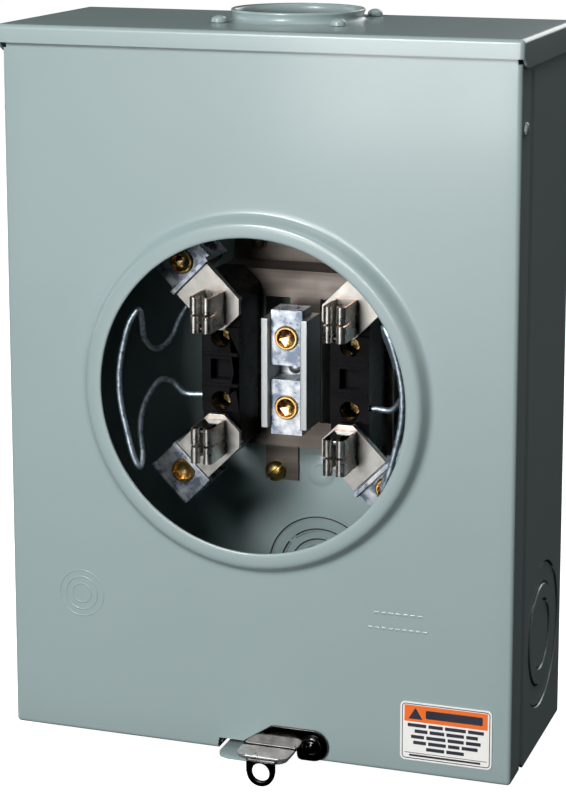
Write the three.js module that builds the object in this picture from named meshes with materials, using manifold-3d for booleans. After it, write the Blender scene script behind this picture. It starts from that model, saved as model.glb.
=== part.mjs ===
// Ringless meter socket enclosure, rain-tight, 200 A, four jaws.
// Millimetres, +Z up. The origin is the centre of the back face, which lies on the wall
// in the plane y = 0. The front faces -Y, and +X is to the right of a person facing it.

import * as THREE from 'three';
import { mergeVertices } from 'three/addons/utils/BufferGeometryUtils.js';
import Module from 'manifold-3d';

const wasm = await Module();
wasm.setup();

// ---------- driving dimensions ----------

const GAP = 0.3; // clearance between pieces that touch
const SHEET = 1.6; // steel sheet of the box, hood and cover

const HEIGHT = 381;
const BOX_WIDTH = 276;
const HOOD_WIDTH = 280;
const HOOD_DEPTH = 118;
const COVER_FRONT = -113.4; // y of the cover's flat face
const HALF_BOX = BOX_WIDTH / 2;
const HALF_HOOD = HOOD_WIDTH / 2;
const TOP = HEIGHT / 2;
const BOTTOM = -HEIGHT / 2;

const JOGGLE_START = -87; // the box walls step inwards here, under the cover's flanges
const JOGGLE_RUN = 3;
const JOGGLE_STEP = 2.1;
const BOX_FRONT = -110;
const HOOD_LIP = 9.5; // front lip of the hood
const HOOD_SIDE_LIP = 14.5;
const HOOD_LIP_BEVEL = 6;
const FLANGE = 12; // welding flanges inside the box
const WALL_HOLE = 3.6; // radius of the holes for the wall screws
const SCREW_SHANK = 2.3; // radius of a tapped hole in sheet
const SCREW_CLEARANCE = 2.8; // radius of a clearance hole for the same screws

const METER_Z = 3.5; // height of the meter opening's centre
const OPENING_RADIUS = 82.6;
const EMBOSS_RADIUS = 96;
const EMBOSS_HEIGHT = 6.3;
const COVER_TOP = 187.5;
const COVER_FLANGE = 19;
const COVER_FLANGE_TOP = 178; // flanges stop below the hinge line, so the cover can swing

const NOTCH_LEFT = -20; // notch in the cover's lower edge, for the hasp and tongue
const NOTCH_RIGHT = 24;
const NOTCH_TOP = -184.4;
const TONGUE_LEFT = -17.5;
const TONGUE_RIGHT = 20;
const TONGUE_FRONT = -125.5;
const TONGUE_CORNER = 7;

const HUB_Y = -42; // centre of the conduit hub opening in the hood
const HUB_RADIUS = 32.2;
const HUB_COLLAR = 5.6;
const HUB_SCREW_PITCH = 65;

const JAW_X = 36.8; // meter jaws, on the standard blade spacing
const JAW_RISE = 35.3;
const JAW_WIDTH = 12;
const JAW_HEIGHT = 19;
const JAW_FRONT = -95.2;
const PLATE_FRONT = -72; // contact plates
const PLATE_THICK = 3;
const BLOCK_INNER = 25.6; // insulating blocks
const BLOCK_OUTER = 46.9;
const BLOCK_HALF_HEIGHT = 51;
const BLOCK_FRONT = -65;
const BLOCK_PAD = -63.4;
const BLOCK_SCREW_RISE = 17.5;
const BRACKET_FRONT = -30;
const BRACKET_THICK = 2;

const LUG_FRONT = -66;
const LUG_BACK = -41.5;
const LUG_LENGTH = 28;
const LUG_START = 71.3; // distance from the meter centre, along the diagonal
const LUG_END = 92.5;
const LUG_BORE = 7.5;
const LUG_BORE_Y = -53;
const SET_SCREW_RADIUS = 6.5;
const SET_SCREW_ALONG = 81.8;

const NEUTRAL_FRONT = -61.5;
const NEUTRAL_BACK = -46;
const NEUTRAL_HALF = 8.7;
const NEUTRAL_LUG_LENGTH = 30;
const NEUTRAL_LUG_RISE = 19;
const NEUTRAL_BORE = 5.5;
const NEUTRAL_BORE_Y = -53.2;
const CHANNEL_WALL = 4;
const CHANNEL_FRONT = -66;
const CHANNEL_HALF_HEIGHT = 30;

const WIRE_DIAMETER = 3.2;

const LATCH_X = 32.5; // latch pivot
const LATCH_Z = -181.6;
const LATCH_END_RADIUS = 8.4;
const LATCH_THICK = 1.8;
const LATCH_FLANGE_FRONT = -130.5;
const RIVET_SHANK = 3;
const HASP_THICK = 2;
const HASP_LEFT = 0.4;
const HASP_RIGHT = 16;
const HASP_FRONT = -128;
const HASP_REAR = -92;
const HASP_RING_Z = -194.6;
const HASP_RING_OUTER = 7.5;
const HASP_RING_HOLE = 5;

const KNOCKOUT_SIDE = { y: -47, z: -131, radii: [38.5, 27.5, 18.5] };
const KNOCKOUT_BACK = { x: 0, z: -124, radii: [30.6, 23.7, 16.5] };
const KNOCKOUT_BOTTOM = { x: 58, y: -46, radii: [30.6, 23.7, 16.5] };
const SLOT_WIDTH = 1.1; // shear line round a knockout
const SLOT_DEPTH = 0.8;
const TIE_ANGLE = 0.16; // uncut tie between two arcs

// ---------- materials ----------

function finish(color, roughness, metalness) {
  return new THREE.MeshStandardMaterial({ color, roughness, metalness });
}

const paint = finish(0xa9b5b4, 0.45, 0.1);
const bracketSteel = finish(0x7d7167, 0.5, 0.9);
const tinPlate = finish(0xd8d6cd, 0.35, 1);
const aluminium = finish(0xc4c9d0, 0.3, 1);
const yellowZinc = finish(0xd2a64a, 0.25, 1);
const brass = finish(0xc09a4c, 0.3, 1);
const blackPlastic = finish(0x18181a, 0.55, 0);
const blackPlate = finish(0x1d1c1c, 0.15, 0.9);
const wireSteel = finish(0x8f9aa1, 0.4, 0.9);
const labelFilm = finish(0xf2efe8, 0.5, 0);

// ---------- solid modelling helpers ----------

function toSolid(geometry) {
  const bare = geometry.index ? geometry.toNonIndexed() : geometry.clone();
  bare.deleteAttribute('normal');
  bare.deleteAttribute('uv');
  const merged = mergeVertices(bare, 1e-4);
  const mesh = new wasm.Mesh({
    numProp: 3,
    vertProperties: merged.attributes.position.array,
    triVerts: new Uint32Array(merged.index.array),
  });
  return new wasm.Manifold(mesh);
}

function toGeometry(solid) {
  const { vertProperties, triVerts } = solid.getMesh();
  const geometry = new THREE.BufferGeometry();
  geometry.setAttribute('position', new THREE.BufferAttribute(vertProperties, 3));
  geometry.setIndex(new THREE.BufferAttribute(triVerts, 1));
  geometry.computeVertexNormals();
  return geometry;
}

function join(first, ...others) {
  return others.reduce((whole, piece) => whole.add(piece), first);
}

function cut(body, ...tools) {
  return tools.reduce((rest, tool) => rest.subtract(tool), body);
}

// A box between two values on each axis.
function block([x0, x1], [y0, y1], [z0, z1]) {
  const geometry = new THREE.BoxGeometry(x1 - x0, y1 - y0, z1 - z0);
  geometry.translate((x0 + x1) / 2, (y0 + y1) / 2, (z0 + z1) / 2);
  return toSolid(geometry);
}

// Outlines are lists of [a, b] corners, or a THREE.Shape where they hold arcs or holes.
function outline(corners) {
  if (corners instanceof THREE.Shape) return corners;
  return new THREE.Shape(corners.map(([a, b]) => new THREE.Vector2(a, b)));
}

function extrude(corners, length, curveSegments = 8) {
  const settings = { depth: length, bevelEnabled: false, curveSegments };
  return new THREE.ExtrudeGeometry(outline(corners), settings);
}

// An outline in x and y, carried up from z0 to z1.
function prismZ(corners, z0, z1, curveSegments) {
  return toSolid(extrude(corners, z1 - z0, curveSegments).translate(0, 0, z0));
}

// An outline in x and z, carried back from y0 to y1.
function prismY(corners, y0, y1, curveSegments) {
  return toSolid(extrude(corners, y1 - y0, curveSegments).rotateX(Math.PI / 2).translate(0, y1, 0));
}

// An outline in y and z, carried across from x0 to x1.
const YZ_TO_X = new THREE.Matrix4().set(0, 0, 1, 0, 1, 0, 0, 0, 0, 1, 0, 0, 0, 0, 0, 1);

function prismX(corners, x0, x1, curveSegments) {
  return toSolid(extrude(corners, x1 - x0, curveSegments).applyMatrix4(YZ_TO_X).translate(x0, 0, 0));
}

// A closed profile of [radius, height] turned about +Y, at x and z.
function turnY(profile, x, z, segments) {
  const points = profile.map(([radius, height]) => new THREE.Vector2(radius, height));
  return toSolid(new THREE.LatheGeometry(points, segments).translate(x, 0, z));
}

function turnZ(profile, x, y, segments) {
  const points = profile.map(([radius, height]) => new THREE.Vector2(radius, height));
  return toSolid(new THREE.LatheGeometry(points, segments).rotateX(Math.PI / 2).translate(x, y, 0));
}

function rodY(radius, x, z, y0, y1, segments = 16) {
  const geometry = new THREE.CylinderGeometry(radius, radius, y1 - y0, segments);
  return toSolid(geometry.translate(x, (y0 + y1) / 2, z));
}

function rodZ(radius, x, y, z0, z1, segments = 16) {
  const geometry = new THREE.CylinderGeometry(radius, radius, z1 - z0, segments);
  return toSolid(geometry.rotateX(Math.PI / 2).translate(x, y, (z0 + z1) / 2));
}

function rodX(radius, y, z, x0, x1, segments = 16) {
  const geometry = new THREE.CylinderGeometry(radius, radius, x1 - x0, segments);
  return toSolid(geometry.rotateZ(Math.PI / 2).translate((x0 + x1) / 2, y, z));
}

const group = new THREE.Group();

function addMesh(name, solid, material, parent = group) {
  const mesh = new THREE.Mesh(toGeometry(solid), material);
  mesh.name = name;
  parent.add(mesh);
  return mesh;
}

// ---------- knockouts ----------

// One sheared arc as a flat outline about a centre.
function arcSlot(a, b, radius, from, to) {
  const shape = new THREE.Shape();
  shape.absarc(a, b, radius + SLOT_WIDTH / 2, from, to, false);
  shape.absarc(a, b, radius - SLOT_WIDTH / 2, to, from, true);
  return shape;
}

// The arcs of concentric knockouts, each ring in two halves with ties turned by a quarter.
function knockoutArcs(a, b, radii) {
  const arcs = [];
  radii.forEach((radius, index) => {
    const start = Math.PI / 4 + (index % 2) * (Math.PI / 2);
    const tie = (TIE_ANGLE * radii[0]) / radius / 2;
    for (const half of [0, Math.PI]) {
      arcs.push(arcSlot(a, b, radius, start + half + tie, start + half + Math.PI - tie));
    }
  });
  return arcs;
}

const ARC_SEGMENTS = 4;

// ---------- box: back, sides and bottom ----------

// The back and both sides are one sheet, bent into a channel. Half of its section.
function wrapperSection() {
  const inner = HALF_BOX - SHEET;
  const joggleEnd = JOGGLE_START - JOGGLE_RUN;
  const outerHalf = [
    [HALF_BOX, 0],
    [HALF_BOX, JOGGLE_START],
    [HALF_BOX - JOGGLE_STEP, joggleEnd],
    [HALF_BOX - JOGGLE_STEP, BOX_FRONT],
    [inner - JOGGLE_STEP, BOX_FRONT],
    [inner - JOGGLE_STEP, joggleEnd],
    [inner, JOGGLE_START],
    [inner, -SHEET],
  ];
  const mirrored = outerHalf.map(([x, y]) => [-x, y]).reverse();
  return [...outerHalf, ...mirrored];
}

// The bent sheet with its knockouts and holes. It ends just under the hood's top sheet.
function wrapper() {
  let body = prismZ(wrapperSection(), BOTTOM, TOP - SHEET - GAP);
  const across = [-HALF_BOX - 1, HALF_BOX + 1];
  const underJoggle = [BOTTOM - 1, BOTTOM + JOGGLE_STEP];
  body = cut(body, block(across, [BOX_FRONT - 1, JOGGLE_START], underJoggle));
  const { y, z, radii } = KNOCKOUT_SIDE;
  for (const arc of knockoutArcs(y, z, radii)) {
    body = cut(body, prismX(arc, HALF_BOX - SLOT_DEPTH, HALF_BOX + 1, ARC_SEGMENTS));
    body = cut(body, prismX(arc, -HALF_BOX - 1, -HALF_BOX + SLOT_DEPTH, ARC_SEGMENTS));
  }
  for (const arc of knockoutArcs(KNOCKOUT_BACK.x, KNOCKOUT_BACK.z, KNOCKOUT_BACK.radii)) {
    body = cut(body, prismY(arc, -SHEET - 1, -SHEET + SLOT_DEPTH, ARC_SEGMENTS));
  }
  for (const [x, z] of mountingHoles()) {
    body = cut(body, rodY(WALL_HOLE, x, z, -SHEET - 1, 1, 12));
  }
  for (const [x, z] of wallScrewPlaces()) {
    body = cut(body, rodY(SCREW_SHANK, x, z, -SHEET - 1, 1, 8));
  }
  return body;
}

// Holes for the screws that hold the box to the wall.
function mountingHoles() {
  return [
    [0, -67],
    [0, 150],
    [-110, 160],
    [110, 160],
    [-110, -165],
    [110, -165],
  ];
}

// The two bracket screws and the bonding screw go into the back sheet here.
const BRACKET_SCREWS = [
  [-36, 63],
  [36, 63],
];
const GROUND_SCREW = [-26, -68];

function wallScrewPlaces() {
  return [...BRACKET_SCREWS, GROUND_SCREW];
}

// Section of the bottom sheet in y and z: rear flange, floor, joggle up, front edge.
function bottomSection() {
  const rear = -SHEET - GAP;
  const joggleEnd = JOGGLE_START - JOGGLE_RUN;
  return [
    [rear, BOTTOM],
    [rear, BOTTOM + FLANGE],
    [rear - SHEET, BOTTOM + FLANGE],
    [rear - SHEET, BOTTOM + SHEET],
    [JOGGLE_START, BOTTOM + SHEET],
    [joggleEnd, BOTTOM + SHEET + JOGGLE_STEP],
    [BOX_FRONT, BOTTOM + SHEET + JOGGLE_STEP],
    [BOX_FRONT, BOTTOM + JOGGLE_STEP],
    [joggleEnd, BOTTOM + JOGGLE_STEP],
    [JOGGLE_START, BOTTOM],
  ].reverse();
}

// Tongue that carries the seal hasp, in x and y, with rounded front corners.
function tongueOutline() {
  const shape = new THREE.Shape();
  const corner = TONGUE_CORNER;
  shape.moveTo(TONGUE_LEFT, JOGGLE_START + 2);
  shape.lineTo(TONGUE_LEFT, TONGUE_FRONT + corner);
  shape.absarc(TONGUE_LEFT + corner, TONGUE_FRONT + corner, corner, Math.PI, 1.5 * Math.PI, false);
  shape.lineTo(TONGUE_RIGHT, TONGUE_FRONT);
  shape.lineTo(TONGUE_RIGHT, JOGGLE_START + 2);
  return shape;
}

const HASP_X = (HASP_LEFT + HASP_RIGHT) / 2;
const HASP_RIVETS = [-98, -109];

function bottomWall() {
  const half = HALF_BOX - SHEET - GAP;
  const frontHalf = half - JOGGLE_STEP;
  const floor = BOTTOM + SHEET;
  let body = prismX(bottomSection(), -half, half);
  for (const side of [-1, 1]) {
    const edges = [side * frontHalf, side * (half + 1)].sort((a, b) => a - b);
    body = cut(body, block(edges, [BOX_FRONT - 1, JOGGLE_START + 1], [BOTTOM - 1, BOTTOM + 6]));
  }
  const clear = [TONGUE_LEFT - 2, TONGUE_RIGHT + 2];
  body = cut(body, block(clear, [BOX_FRONT - 1, JOGGLE_START - 0.01], [BOTTOM - 1, BOTTOM + 6]));
  body = join(body, prismZ(tongueOutline(), BOTTOM, floor, 5));
  for (const y of HASP_RIVETS) {
    body = cut(body, rodZ(SCREW_SHANK, HASP_X, y, BOTTOM - 1, floor + 1, 8));
  }
  for (const side of [-1, 1]) {
    const arcs = knockoutArcs(side * KNOCKOUT_BOTTOM.x, KNOCKOUT_BOTTOM.y, KNOCKOUT_BOTTOM.radii);
    for (const arc of arcs) {
      body = cut(body, prismZ(arc, BOTTOM - 1, BOTTOM + SLOT_DEPTH, ARC_SEGMENTS));
    }
  }
  return body;
}

addMesh('box_back_and_sides', wrapper(), paint);
addMesh('bottom_wall', bottomWall(), paint);

// ---------- hood with the hub collar ----------

function hubScrewPlaces() {
  const half = HUB_SCREW_PITCH / 2;
  return [
    [-half, HUB_Y - half],
    [half, HUB_Y - half],
    [-half, HUB_Y + half],
    [half, HUB_Y + half],
  ];
}

// Side lip in y and z, with its lower front corner bevelled.
function hoodSideLip() {
  return [
    [0, TOP],
    [-HOOD_DEPTH, TOP],
    [-HOOD_DEPTH, TOP - HOOD_LIP],
    [-HOOD_DEPTH + HOOD_LIP_BEVEL, TOP - HOOD_SIDE_LIP],
    [0, TOP - HOOD_SIDE_LIP],
  ];
}

// Collar drawn up round the hub opening: it leans in a little and ends in a flat rim.
function hubCollar() {
  const outer = HUB_RADIUS + 5;
  const crest = TOP + HUB_COLLAR;
  const profile = [
    [HUB_RADIUS, TOP - SHEET],
    [outer, TOP - SHEET],
    [outer, TOP],
    [HUB_RADIUS + 3.4, TOP + 1.2],
    [HUB_RADIUS + 2.6, crest - 0.8],
    [HUB_RADIUS + 1.8, crest],
    [HUB_RADIUS + 0.6, crest],
    [HUB_RADIUS, crest - 0.8],
    [HUB_RADIUS, TOP - SHEET],
  ];
  return turnZ(profile, 0, HUB_Y, 32);
}

function hood() {
  const inner = TOP - SHEET;
  let body = block([-HALF_HOOD, HALF_HOOD], [-HOOD_DEPTH, 0], [inner, TOP]);
  const lipRange = [TOP - HOOD_LIP, TOP];
  body = join(body, block([-HALF_HOOD, HALF_HOOD], [-HOOD_DEPTH, -HOOD_DEPTH + SHEET], lipRange));
  body = join(body, prismX(hoodSideLip(), -HALF_HOOD, -HALF_HOOD + SHEET));
  body = join(body, prismX(hoodSideLip(), HALF_HOOD - SHEET, HALF_HOOD));
  const rear = -SHEET - GAP;
  const half = HALF_BOX - SHEET - 2;
  body = join(body, block([-half, half], [rear - SHEET, rear], [TOP - FLANGE, TOP]));
  body = cut(body, rodZ(HUB_RADIUS + 2, 0, HUB_Y, inner - 1, TOP + 1, 32));
  body = join(body, hubCollar());
  for (const [x, y] of hubScrewPlaces()) {
    body = cut(body, rodZ(SCREW_CLEARANCE, x, y, inner - 1, TOP + 1, 8));
  }
  return body;
}

addMesh('top_hood', hood(), paint);

// Round-head screw that holds a conduit hub to the hood.
function hubScrew([x, y]) {
  const under = TOP + GAP;
  const profile = [
    [0, under - 11],
    [2.4, under - 11],
    [2.4, under],
    [3.9, under],
    [3.9, under + 2],
    [2.9, under + 3.3],
    [0, under + 3.7],
  ];
  return turnZ(profile, x, y, 14);
}

const hubScrewNames = ['front_left', 'front_right', 'rear_left', 'rear_right'];
hubScrewPlaces().forEach((place, index) => {
  addMesh(`hub_screw_${hubScrewNames[index]}`, hubScrew(place), paint);
});

// ---------- cover ----------

// Raised ring round the meter opening, from its outer foot over the crest to the hem inside.
function coverRing() {
  const back = COVER_FRONT + SHEET;
  const crest = COVER_FRONT - EMBOSS_HEIGHT;
  const hemBack = crest + 5;
  const profile = [
    [EMBOSS_RADIUS, back],
    [EMBOSS_RADIUS - 4.4, back - 2],
    [EMBOSS_RADIUS - 8.2, crest + SHEET + 0.8],
    [OPENING_RADIUS + SHEET, crest + SHEET],
    [OPENING_RADIUS + SHEET, hemBack],
    [OPENING_RADIUS, hemBack],
    [OPENING_RADIUS, crest + 0.5],
    [OPENING_RADIUS + 0.5, crest],
    [OPENING_RADIUS + 3.6, crest],
    [EMBOSS_RADIUS - 7.6, crest + 1],
    [EMBOSS_RADIUS - 3.4, crest + 4.2],
    [EMBOSS_RADIUS, COVER_FRONT - 0.6],
    [EMBOSS_RADIUS + 1.5, COVER_FRONT],
    [EMBOSS_RADIUS + 1.5, back],
    [EMBOSS_RADIUS, back],
  ];
  return turnY(profile, 0, METER_Z, 48);
}

const BUTTON_Z = 146;
const BUTTON_Y = -106;

function coverBody() {
  const back = COVER_FRONT + SHEET;
  const flangeBack = COVER_FRONT + COVER_FLANGE;
  let body = block([-HALF_BOX, HALF_BOX], [COVER_FRONT, back], [BOTTOM, COVER_TOP]);
  body = cut(body, rodY(EMBOSS_RADIUS + 0.8, 0, METER_Z, COVER_FRONT - 1, back + 1, 48));
  body = join(body, coverRing());
  const flange = [COVER_FRONT, flangeBack];
  body = join(
    body,
    block([-HALF_BOX, -HALF_BOX + SHEET], flange, [BOTTOM, COVER_FLANGE_TOP]),
    block([HALF_BOX - SHEET, HALF_BOX], flange, [BOTTOM, COVER_FLANGE_TOP]),
    block([-HALF_BOX, HALF_BOX], flange, [BOTTOM, BOTTOM + SHEET]),
  );
  const notch = [COVER_FRONT - 1, flangeBack + 1];
  body = cut(body, block([NOTCH_LEFT, NOTCH_RIGHT], notch, [BOTTOM - 1, NOTCH_TOP]));
  body = cut(body, rodY(RIVET_SHANK + GAP, LATCH_X, LATCH_Z, COVER_FRONT - 1, back + 1, 16));
  return cut(body, rodX(1.9, BUTTON_Y, BUTTON_Z, -HALF_BOX - 1, HALF_BOX + 1, 8));
}

addMesh('cover', coverBody(), paint);

// Rivet head on the cover's side flange, near the top.
function coverButton(side) {
  const face = side * (HALF_BOX + GAP);
  const head = [face, face + side * 1.7].sort((a, b) => a - b);
  const shank = [side * (HALF_BOX - SHEET + 0.1), face + side * 0.2].sort((a, b) => a - b);
  return join(
    rodX(3.3, BUTTON_Y, BUTTON_Z, head[0], head[1], 16),
    rodX(1.6, BUTTON_Y, BUTTON_Z, shank[0], shank[1], 12),
  );
}

addMesh('cover_rivet_left', coverButton(-1), paint);
addMesh('cover_rivet_right', coverButton(1), paint);

// Adhesive label on the lower right of the cover, with rounded corners.
const LABEL = { left: 79.8, right: 128.2, low: -182.6, high: -151, corner: 2.5, thick: 0.3 };

function roundedRectangle(left, right, low, high, radius) {
  const shape = new THREE.Shape();
  shape.absarc(right - radius, high - radius, radius, 0, 0.5 * Math.PI, false);
  shape.absarc(left + radius, high - radius, radius, 0.5 * Math.PI, Math.PI, false);
  shape.absarc(left + radius, low + radius, radius, Math.PI, 1.5 * Math.PI, false);
  shape.absarc(right - radius, low + radius, radius, 1.5 * Math.PI, 2 * Math.PI, false);
  return shape;
}

function label() {
  const { left, right, low, high, corner, thick } = LABEL;
  const back = COVER_FRONT - GAP;
  return prismY(roundedRectangle(left, right, low, high, corner), back - thick, back, 4);
}

addMesh('label', label(), labelFilm);

// ---------- latch on the cover ----------

const LATCH_BACK = COVER_FRONT - 0.4;
const LATCH_FRONT = LATCH_BACK - LATCH_THICK;
const LATCH_LOW = -186.2;

// Arm in x and z: round end about the pivot, straight top, slanted left end.
function latchArm() {
  const shape = new THREE.Shape();
  shape.moveTo(9, LATCH_Z + LATCH_END_RADIUS - 0.8);
  shape.lineTo(-5.5, LATCH_LOW + 1);
  shape.lineTo(-5.5, LATCH_LOW);
  shape.lineTo(23.6, LATCH_LOW);
  shape.lineTo(24.4, -188.6);
  shape.lineTo(26.4, LATCH_Z - LATCH_END_RADIUS);
  shape.lineTo(LATCH_X, LATCH_Z - LATCH_END_RADIUS);
  shape.absarc(LATCH_X, LATCH_Z, LATCH_END_RADIUS, -0.5 * Math.PI, 0.5 * Math.PI, false);
  return shape;
}

// Flange bent forward from the arm's lower edge, in x and y, with rounded front corners.
function latchFlange() {
  const corner = 6;
  const left = -5.5;
  const right = 23.6;
  const front = LATCH_FLANGE_FRONT;
  const shape = new THREE.Shape();
  shape.moveTo(left, LATCH_BACK);
  shape.lineTo(left, front + corner);
  shape.absarc(left + corner, front + corner, corner, Math.PI, 1.5 * Math.PI, false);
  shape.absarc(right - corner, front + corner, corner, 1.5 * Math.PI, 2 * Math.PI, false);
  shape.lineTo(right, LATCH_BACK);
  return shape;
}

function latch() {
  const arm = prismY(latchArm(), LATCH_FRONT, LATCH_BACK, 8);
  const flange = prismZ(latchFlange(), LATCH_LOW, LATCH_LOW + 1.5, 6);
  const body = join(arm, flange);
  return cut(body, rodY(RIVET_SHANK + GAP, LATCH_X, LATCH_Z, LATCH_FRONT - 1, LATCH_BACK + 1, 16));
}

// Shouldered rivet that the latch turns on. It is set in the cover.
function latchRivet() {
  const headBack = LATCH_FRONT - GAP;
  const tail = COVER_FRONT + SHEET + GAP;
  const profile = [
    [0, tail + 1.6],
    [4.6, tail + 1.6],
    [4.6, tail],
    [RIVET_SHANK, tail],
    [RIVET_SHANK, headBack],
    [5.3, headBack],
    [5.3, headBack - 1.1],
    [3.6, headBack - 2.1],
    [0, headBack - 2.5],
  ];
  return turnY(profile.reverse(), LATCH_X, LATCH_Z, 16);
}

addMesh('latch', latch(), blackPlate);
addMesh('latch_rivet', latchRivet(), blackPlate);

// ---------- seal hasp on the box ----------

const HASP_LOW = BOTTOM + SHEET + GAP;

// Front plate in x and z: straight sides that run into a ring.
function haspRing() {
  const top = HASP_LOW + HASP_THICK;
  const shape = new THREE.Shape();
  shape.moveTo(HASP_LEFT, top);
  shape.lineTo(HASP_LEFT, HASP_RING_Z + 1.6);
  shape.absarc(HASP_X, HASP_RING_Z, HASP_RING_OUTER, Math.PI, 2 * Math.PI, false);
  shape.lineTo(HASP_RIGHT, HASP_RING_Z + 1.6);
  shape.lineTo(HASP_RIGHT, top);
  const hole = new THREE.Path();
  hole.absarc(HASP_X, HASP_RING_Z, HASP_RING_HOLE, 0, 2 * Math.PI, true);
  shape.holes.push(hole);
  return shape;
}

function hasp() {
  const leg = block([HASP_LEFT, HASP_RIGHT], [HASP_FRONT, HASP_REAR], [HASP_LOW, HASP_LOW + HASP_THICK]);
  const ring = prismY(haspRing(), HASP_FRONT, HASP_FRONT + HASP_THICK, 8);
  let body = join(leg, ring);
  for (const y of HASP_RIVETS) {
    body = cut(body, rodZ(SCREW_SHANK, HASP_X, y, HASP_LOW - 1, HASP_LOW + HASP_THICK + 1, 8));
  }
  return body;
}

function haspRivet(y) {
  const over = HASP_LOW + HASP_THICK + GAP;
  const under = BOTTOM - GAP;
  const profile = [
    [0, under - 1.2],
    [3.4, under - 1.2],
    [3.4, under],
    [2, under],
    [2, over],
    [3.6, over],
    [2.6, over + 1.1],
    [0, over + 1.3],
  ];
  return turnZ(profile, HASP_X, y, 10);
}

addMesh('seal_hasp', hasp(), blackPlate);
addMesh('hasp_rivet_rear', haspRivet(HASP_RIVETS[0]), blackPlate);
addMesh('hasp_rivet_front', haspRivet(HASP_RIVETS[1]), blackPlate);

// ---------- steel mounting bracket inside ----------

const BRACKET_HALF = 50;
const BRACKET_TOP = METER_Z + 49.5;
const BRACKET_LOW = METER_Z - 49.5;
const BRACKET_FOOT = 22; // height of the upper foot
const BRACKET_TAB = 27; // height of the lower foot
const FOOT_BACK = -SHEET - GAP;
const FOOT_FRONT = FOOT_BACK - BRACKET_THICK;

// Hat section in y and z: top foot, web, front plate, web, lower foot.
function bracketSection() {
  const face = BRACKET_FRONT + BRACKET_THICK;
  return [
    [FOOT_BACK, BRACKET_TOP + BRACKET_FOOT],
    [FOOT_FRONT, BRACKET_TOP + BRACKET_FOOT],
    [FOOT_FRONT, BRACKET_TOP],
    [BRACKET_FRONT, BRACKET_TOP],
    [BRACKET_FRONT, BRACKET_LOW],
    [FOOT_FRONT, BRACKET_LOW],
    [FOOT_FRONT, BRACKET_LOW - BRACKET_TAB],
    [FOOT_BACK, BRACKET_LOW - BRACKET_TAB],
    [FOOT_BACK, BRACKET_LOW + BRACKET_THICK],
    [face, BRACKET_LOW + BRACKET_THICK],
    [face, BRACKET_TOP - BRACKET_THICK],
    [FOOT_BACK, BRACKET_TOP - BRACKET_THICK],
  ];
}

const BLOCK_X = (BLOCK_INNER + BLOCK_OUTER) / 2;
const TAB = [-32, -13]; // the lower foot is only this tab

function bracket() {
  let body = prismX(bracketSection(), -BRACKET_HALF, BRACKET_HALF);
  const lowFoot = [BRACKET_LOW - BRACKET_TAB - 1, BRACKET_LOW - 0.01];
  const footDepth = [FOOT_FRONT - 1, FOOT_BACK + 1];
  body = cut(
    body,
    block([-BRACKET_HALF - 1, TAB[0]], footDepth, lowFoot),
    block([TAB[1], BRACKET_HALF + 1], footDepth, lowFoot),
  );
  for (const side of [-1, 1]) {
    const window = [side * 8.5, side * 23.5].sort((a, b) => a - b);
    const faceDepth = [BRACKET_FRONT - 1, BRACKET_FRONT + BRACKET_THICK + 1];
    body = cut(body, block(window, faceDepth, [METER_Z - 34.5, METER_Z + 34.5]));
    for (const rise of [-BLOCK_SCREW_RISE, BLOCK_SCREW_RISE]) {
      body = cut(body, rodY(SCREW_CLEARANCE, side * BLOCK_X, METER_Z + rise, ...faceDepth, 8));
    }
    for (const rise of [-JAW_RISE, JAW_RISE]) {
      body = cut(body, rodY(5.6, side * JAW_X, METER_Z + rise, ...faceDepth, 16));
    }
  }
  body = cut(body, rodY(SCREW_CLEARANCE, 0, METER_Z, BRACKET_FRONT - 1, BRACKET_FRONT + BRACKET_THICK + 1, 8));
  for (const [x, z] of wallScrewPlaces()) {
    body = cut(body, rodY(SCREW_CLEARANCE, x, z, ...footDepth, 8));
  }
  return body;
}

addMesh('mounting_bracket', bracket(), bracketSteel);

// Washer-head screw with a slot, from the bracket's foot into the back sheet.
function wallScrew(x, z, headRadius) {
  const seat = FOOT_FRONT - GAP;
  const profile = [
    [0, -0.3],
    [2, -0.3],
    [2, seat],
    [headRadius, seat],
    [headRadius, seat - 1],
    [headRadius * 0.75, seat - 1.2],
    [headRadius * 0.72, seat - 4],
    [0, seat - 4.4],
  ];
  const slot = block([x - headRadius, x + headRadius], [seat - 6, seat - 3], [z - 0.7, z + 0.7]);
  return cut(turnY(profile.reverse(), x, z, 12), slot);
}

addMesh('bracket_screw_left', wallScrew(...BRACKET_SCREWS[0], 5), yellowZinc);
addMesh('bracket_screw_right', wallScrew(...BRACKET_SCREWS[1], 5), yellowZinc);
addMesh('bonding_screw', wallScrew(...GROUND_SCREW, 5.6), brass);

// ---------- insulating blocks ----------

// Section in x and z, with both inner corners cut at 45 degrees like the plates.
function blockOutline(side) {
  const chamfer = 9;
  const low = METER_Z - BLOCK_HALF_HEIGHT;
  const high = METER_Z + BLOCK_HALF_HEIGHT;
  const corners = [
    [BLOCK_INNER, low + chamfer],
    [BLOCK_INNER + chamfer, low],
    [BLOCK_OUTER, low],
    [BLOCK_OUTER, high],
    [BLOCK_INNER + chamfer, high],
    [BLOCK_INNER, high - chamfer],
  ];
  return side > 0 ? corners : corners.map(([x, z]) => [-x, z]).reverse();
}

const WIRE_LOW = { y: -60, z: METER_Z - 16 }; // where the support wire enters the block
const WIRE_HIGH = { y: -58, z: METER_Z + 35 };
const PAD_RISE = 23.4;
const FIXING_POCKET = BRACKET_FRONT - GAP - 6; // floor of the fixing screw's pocket behind

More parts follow.
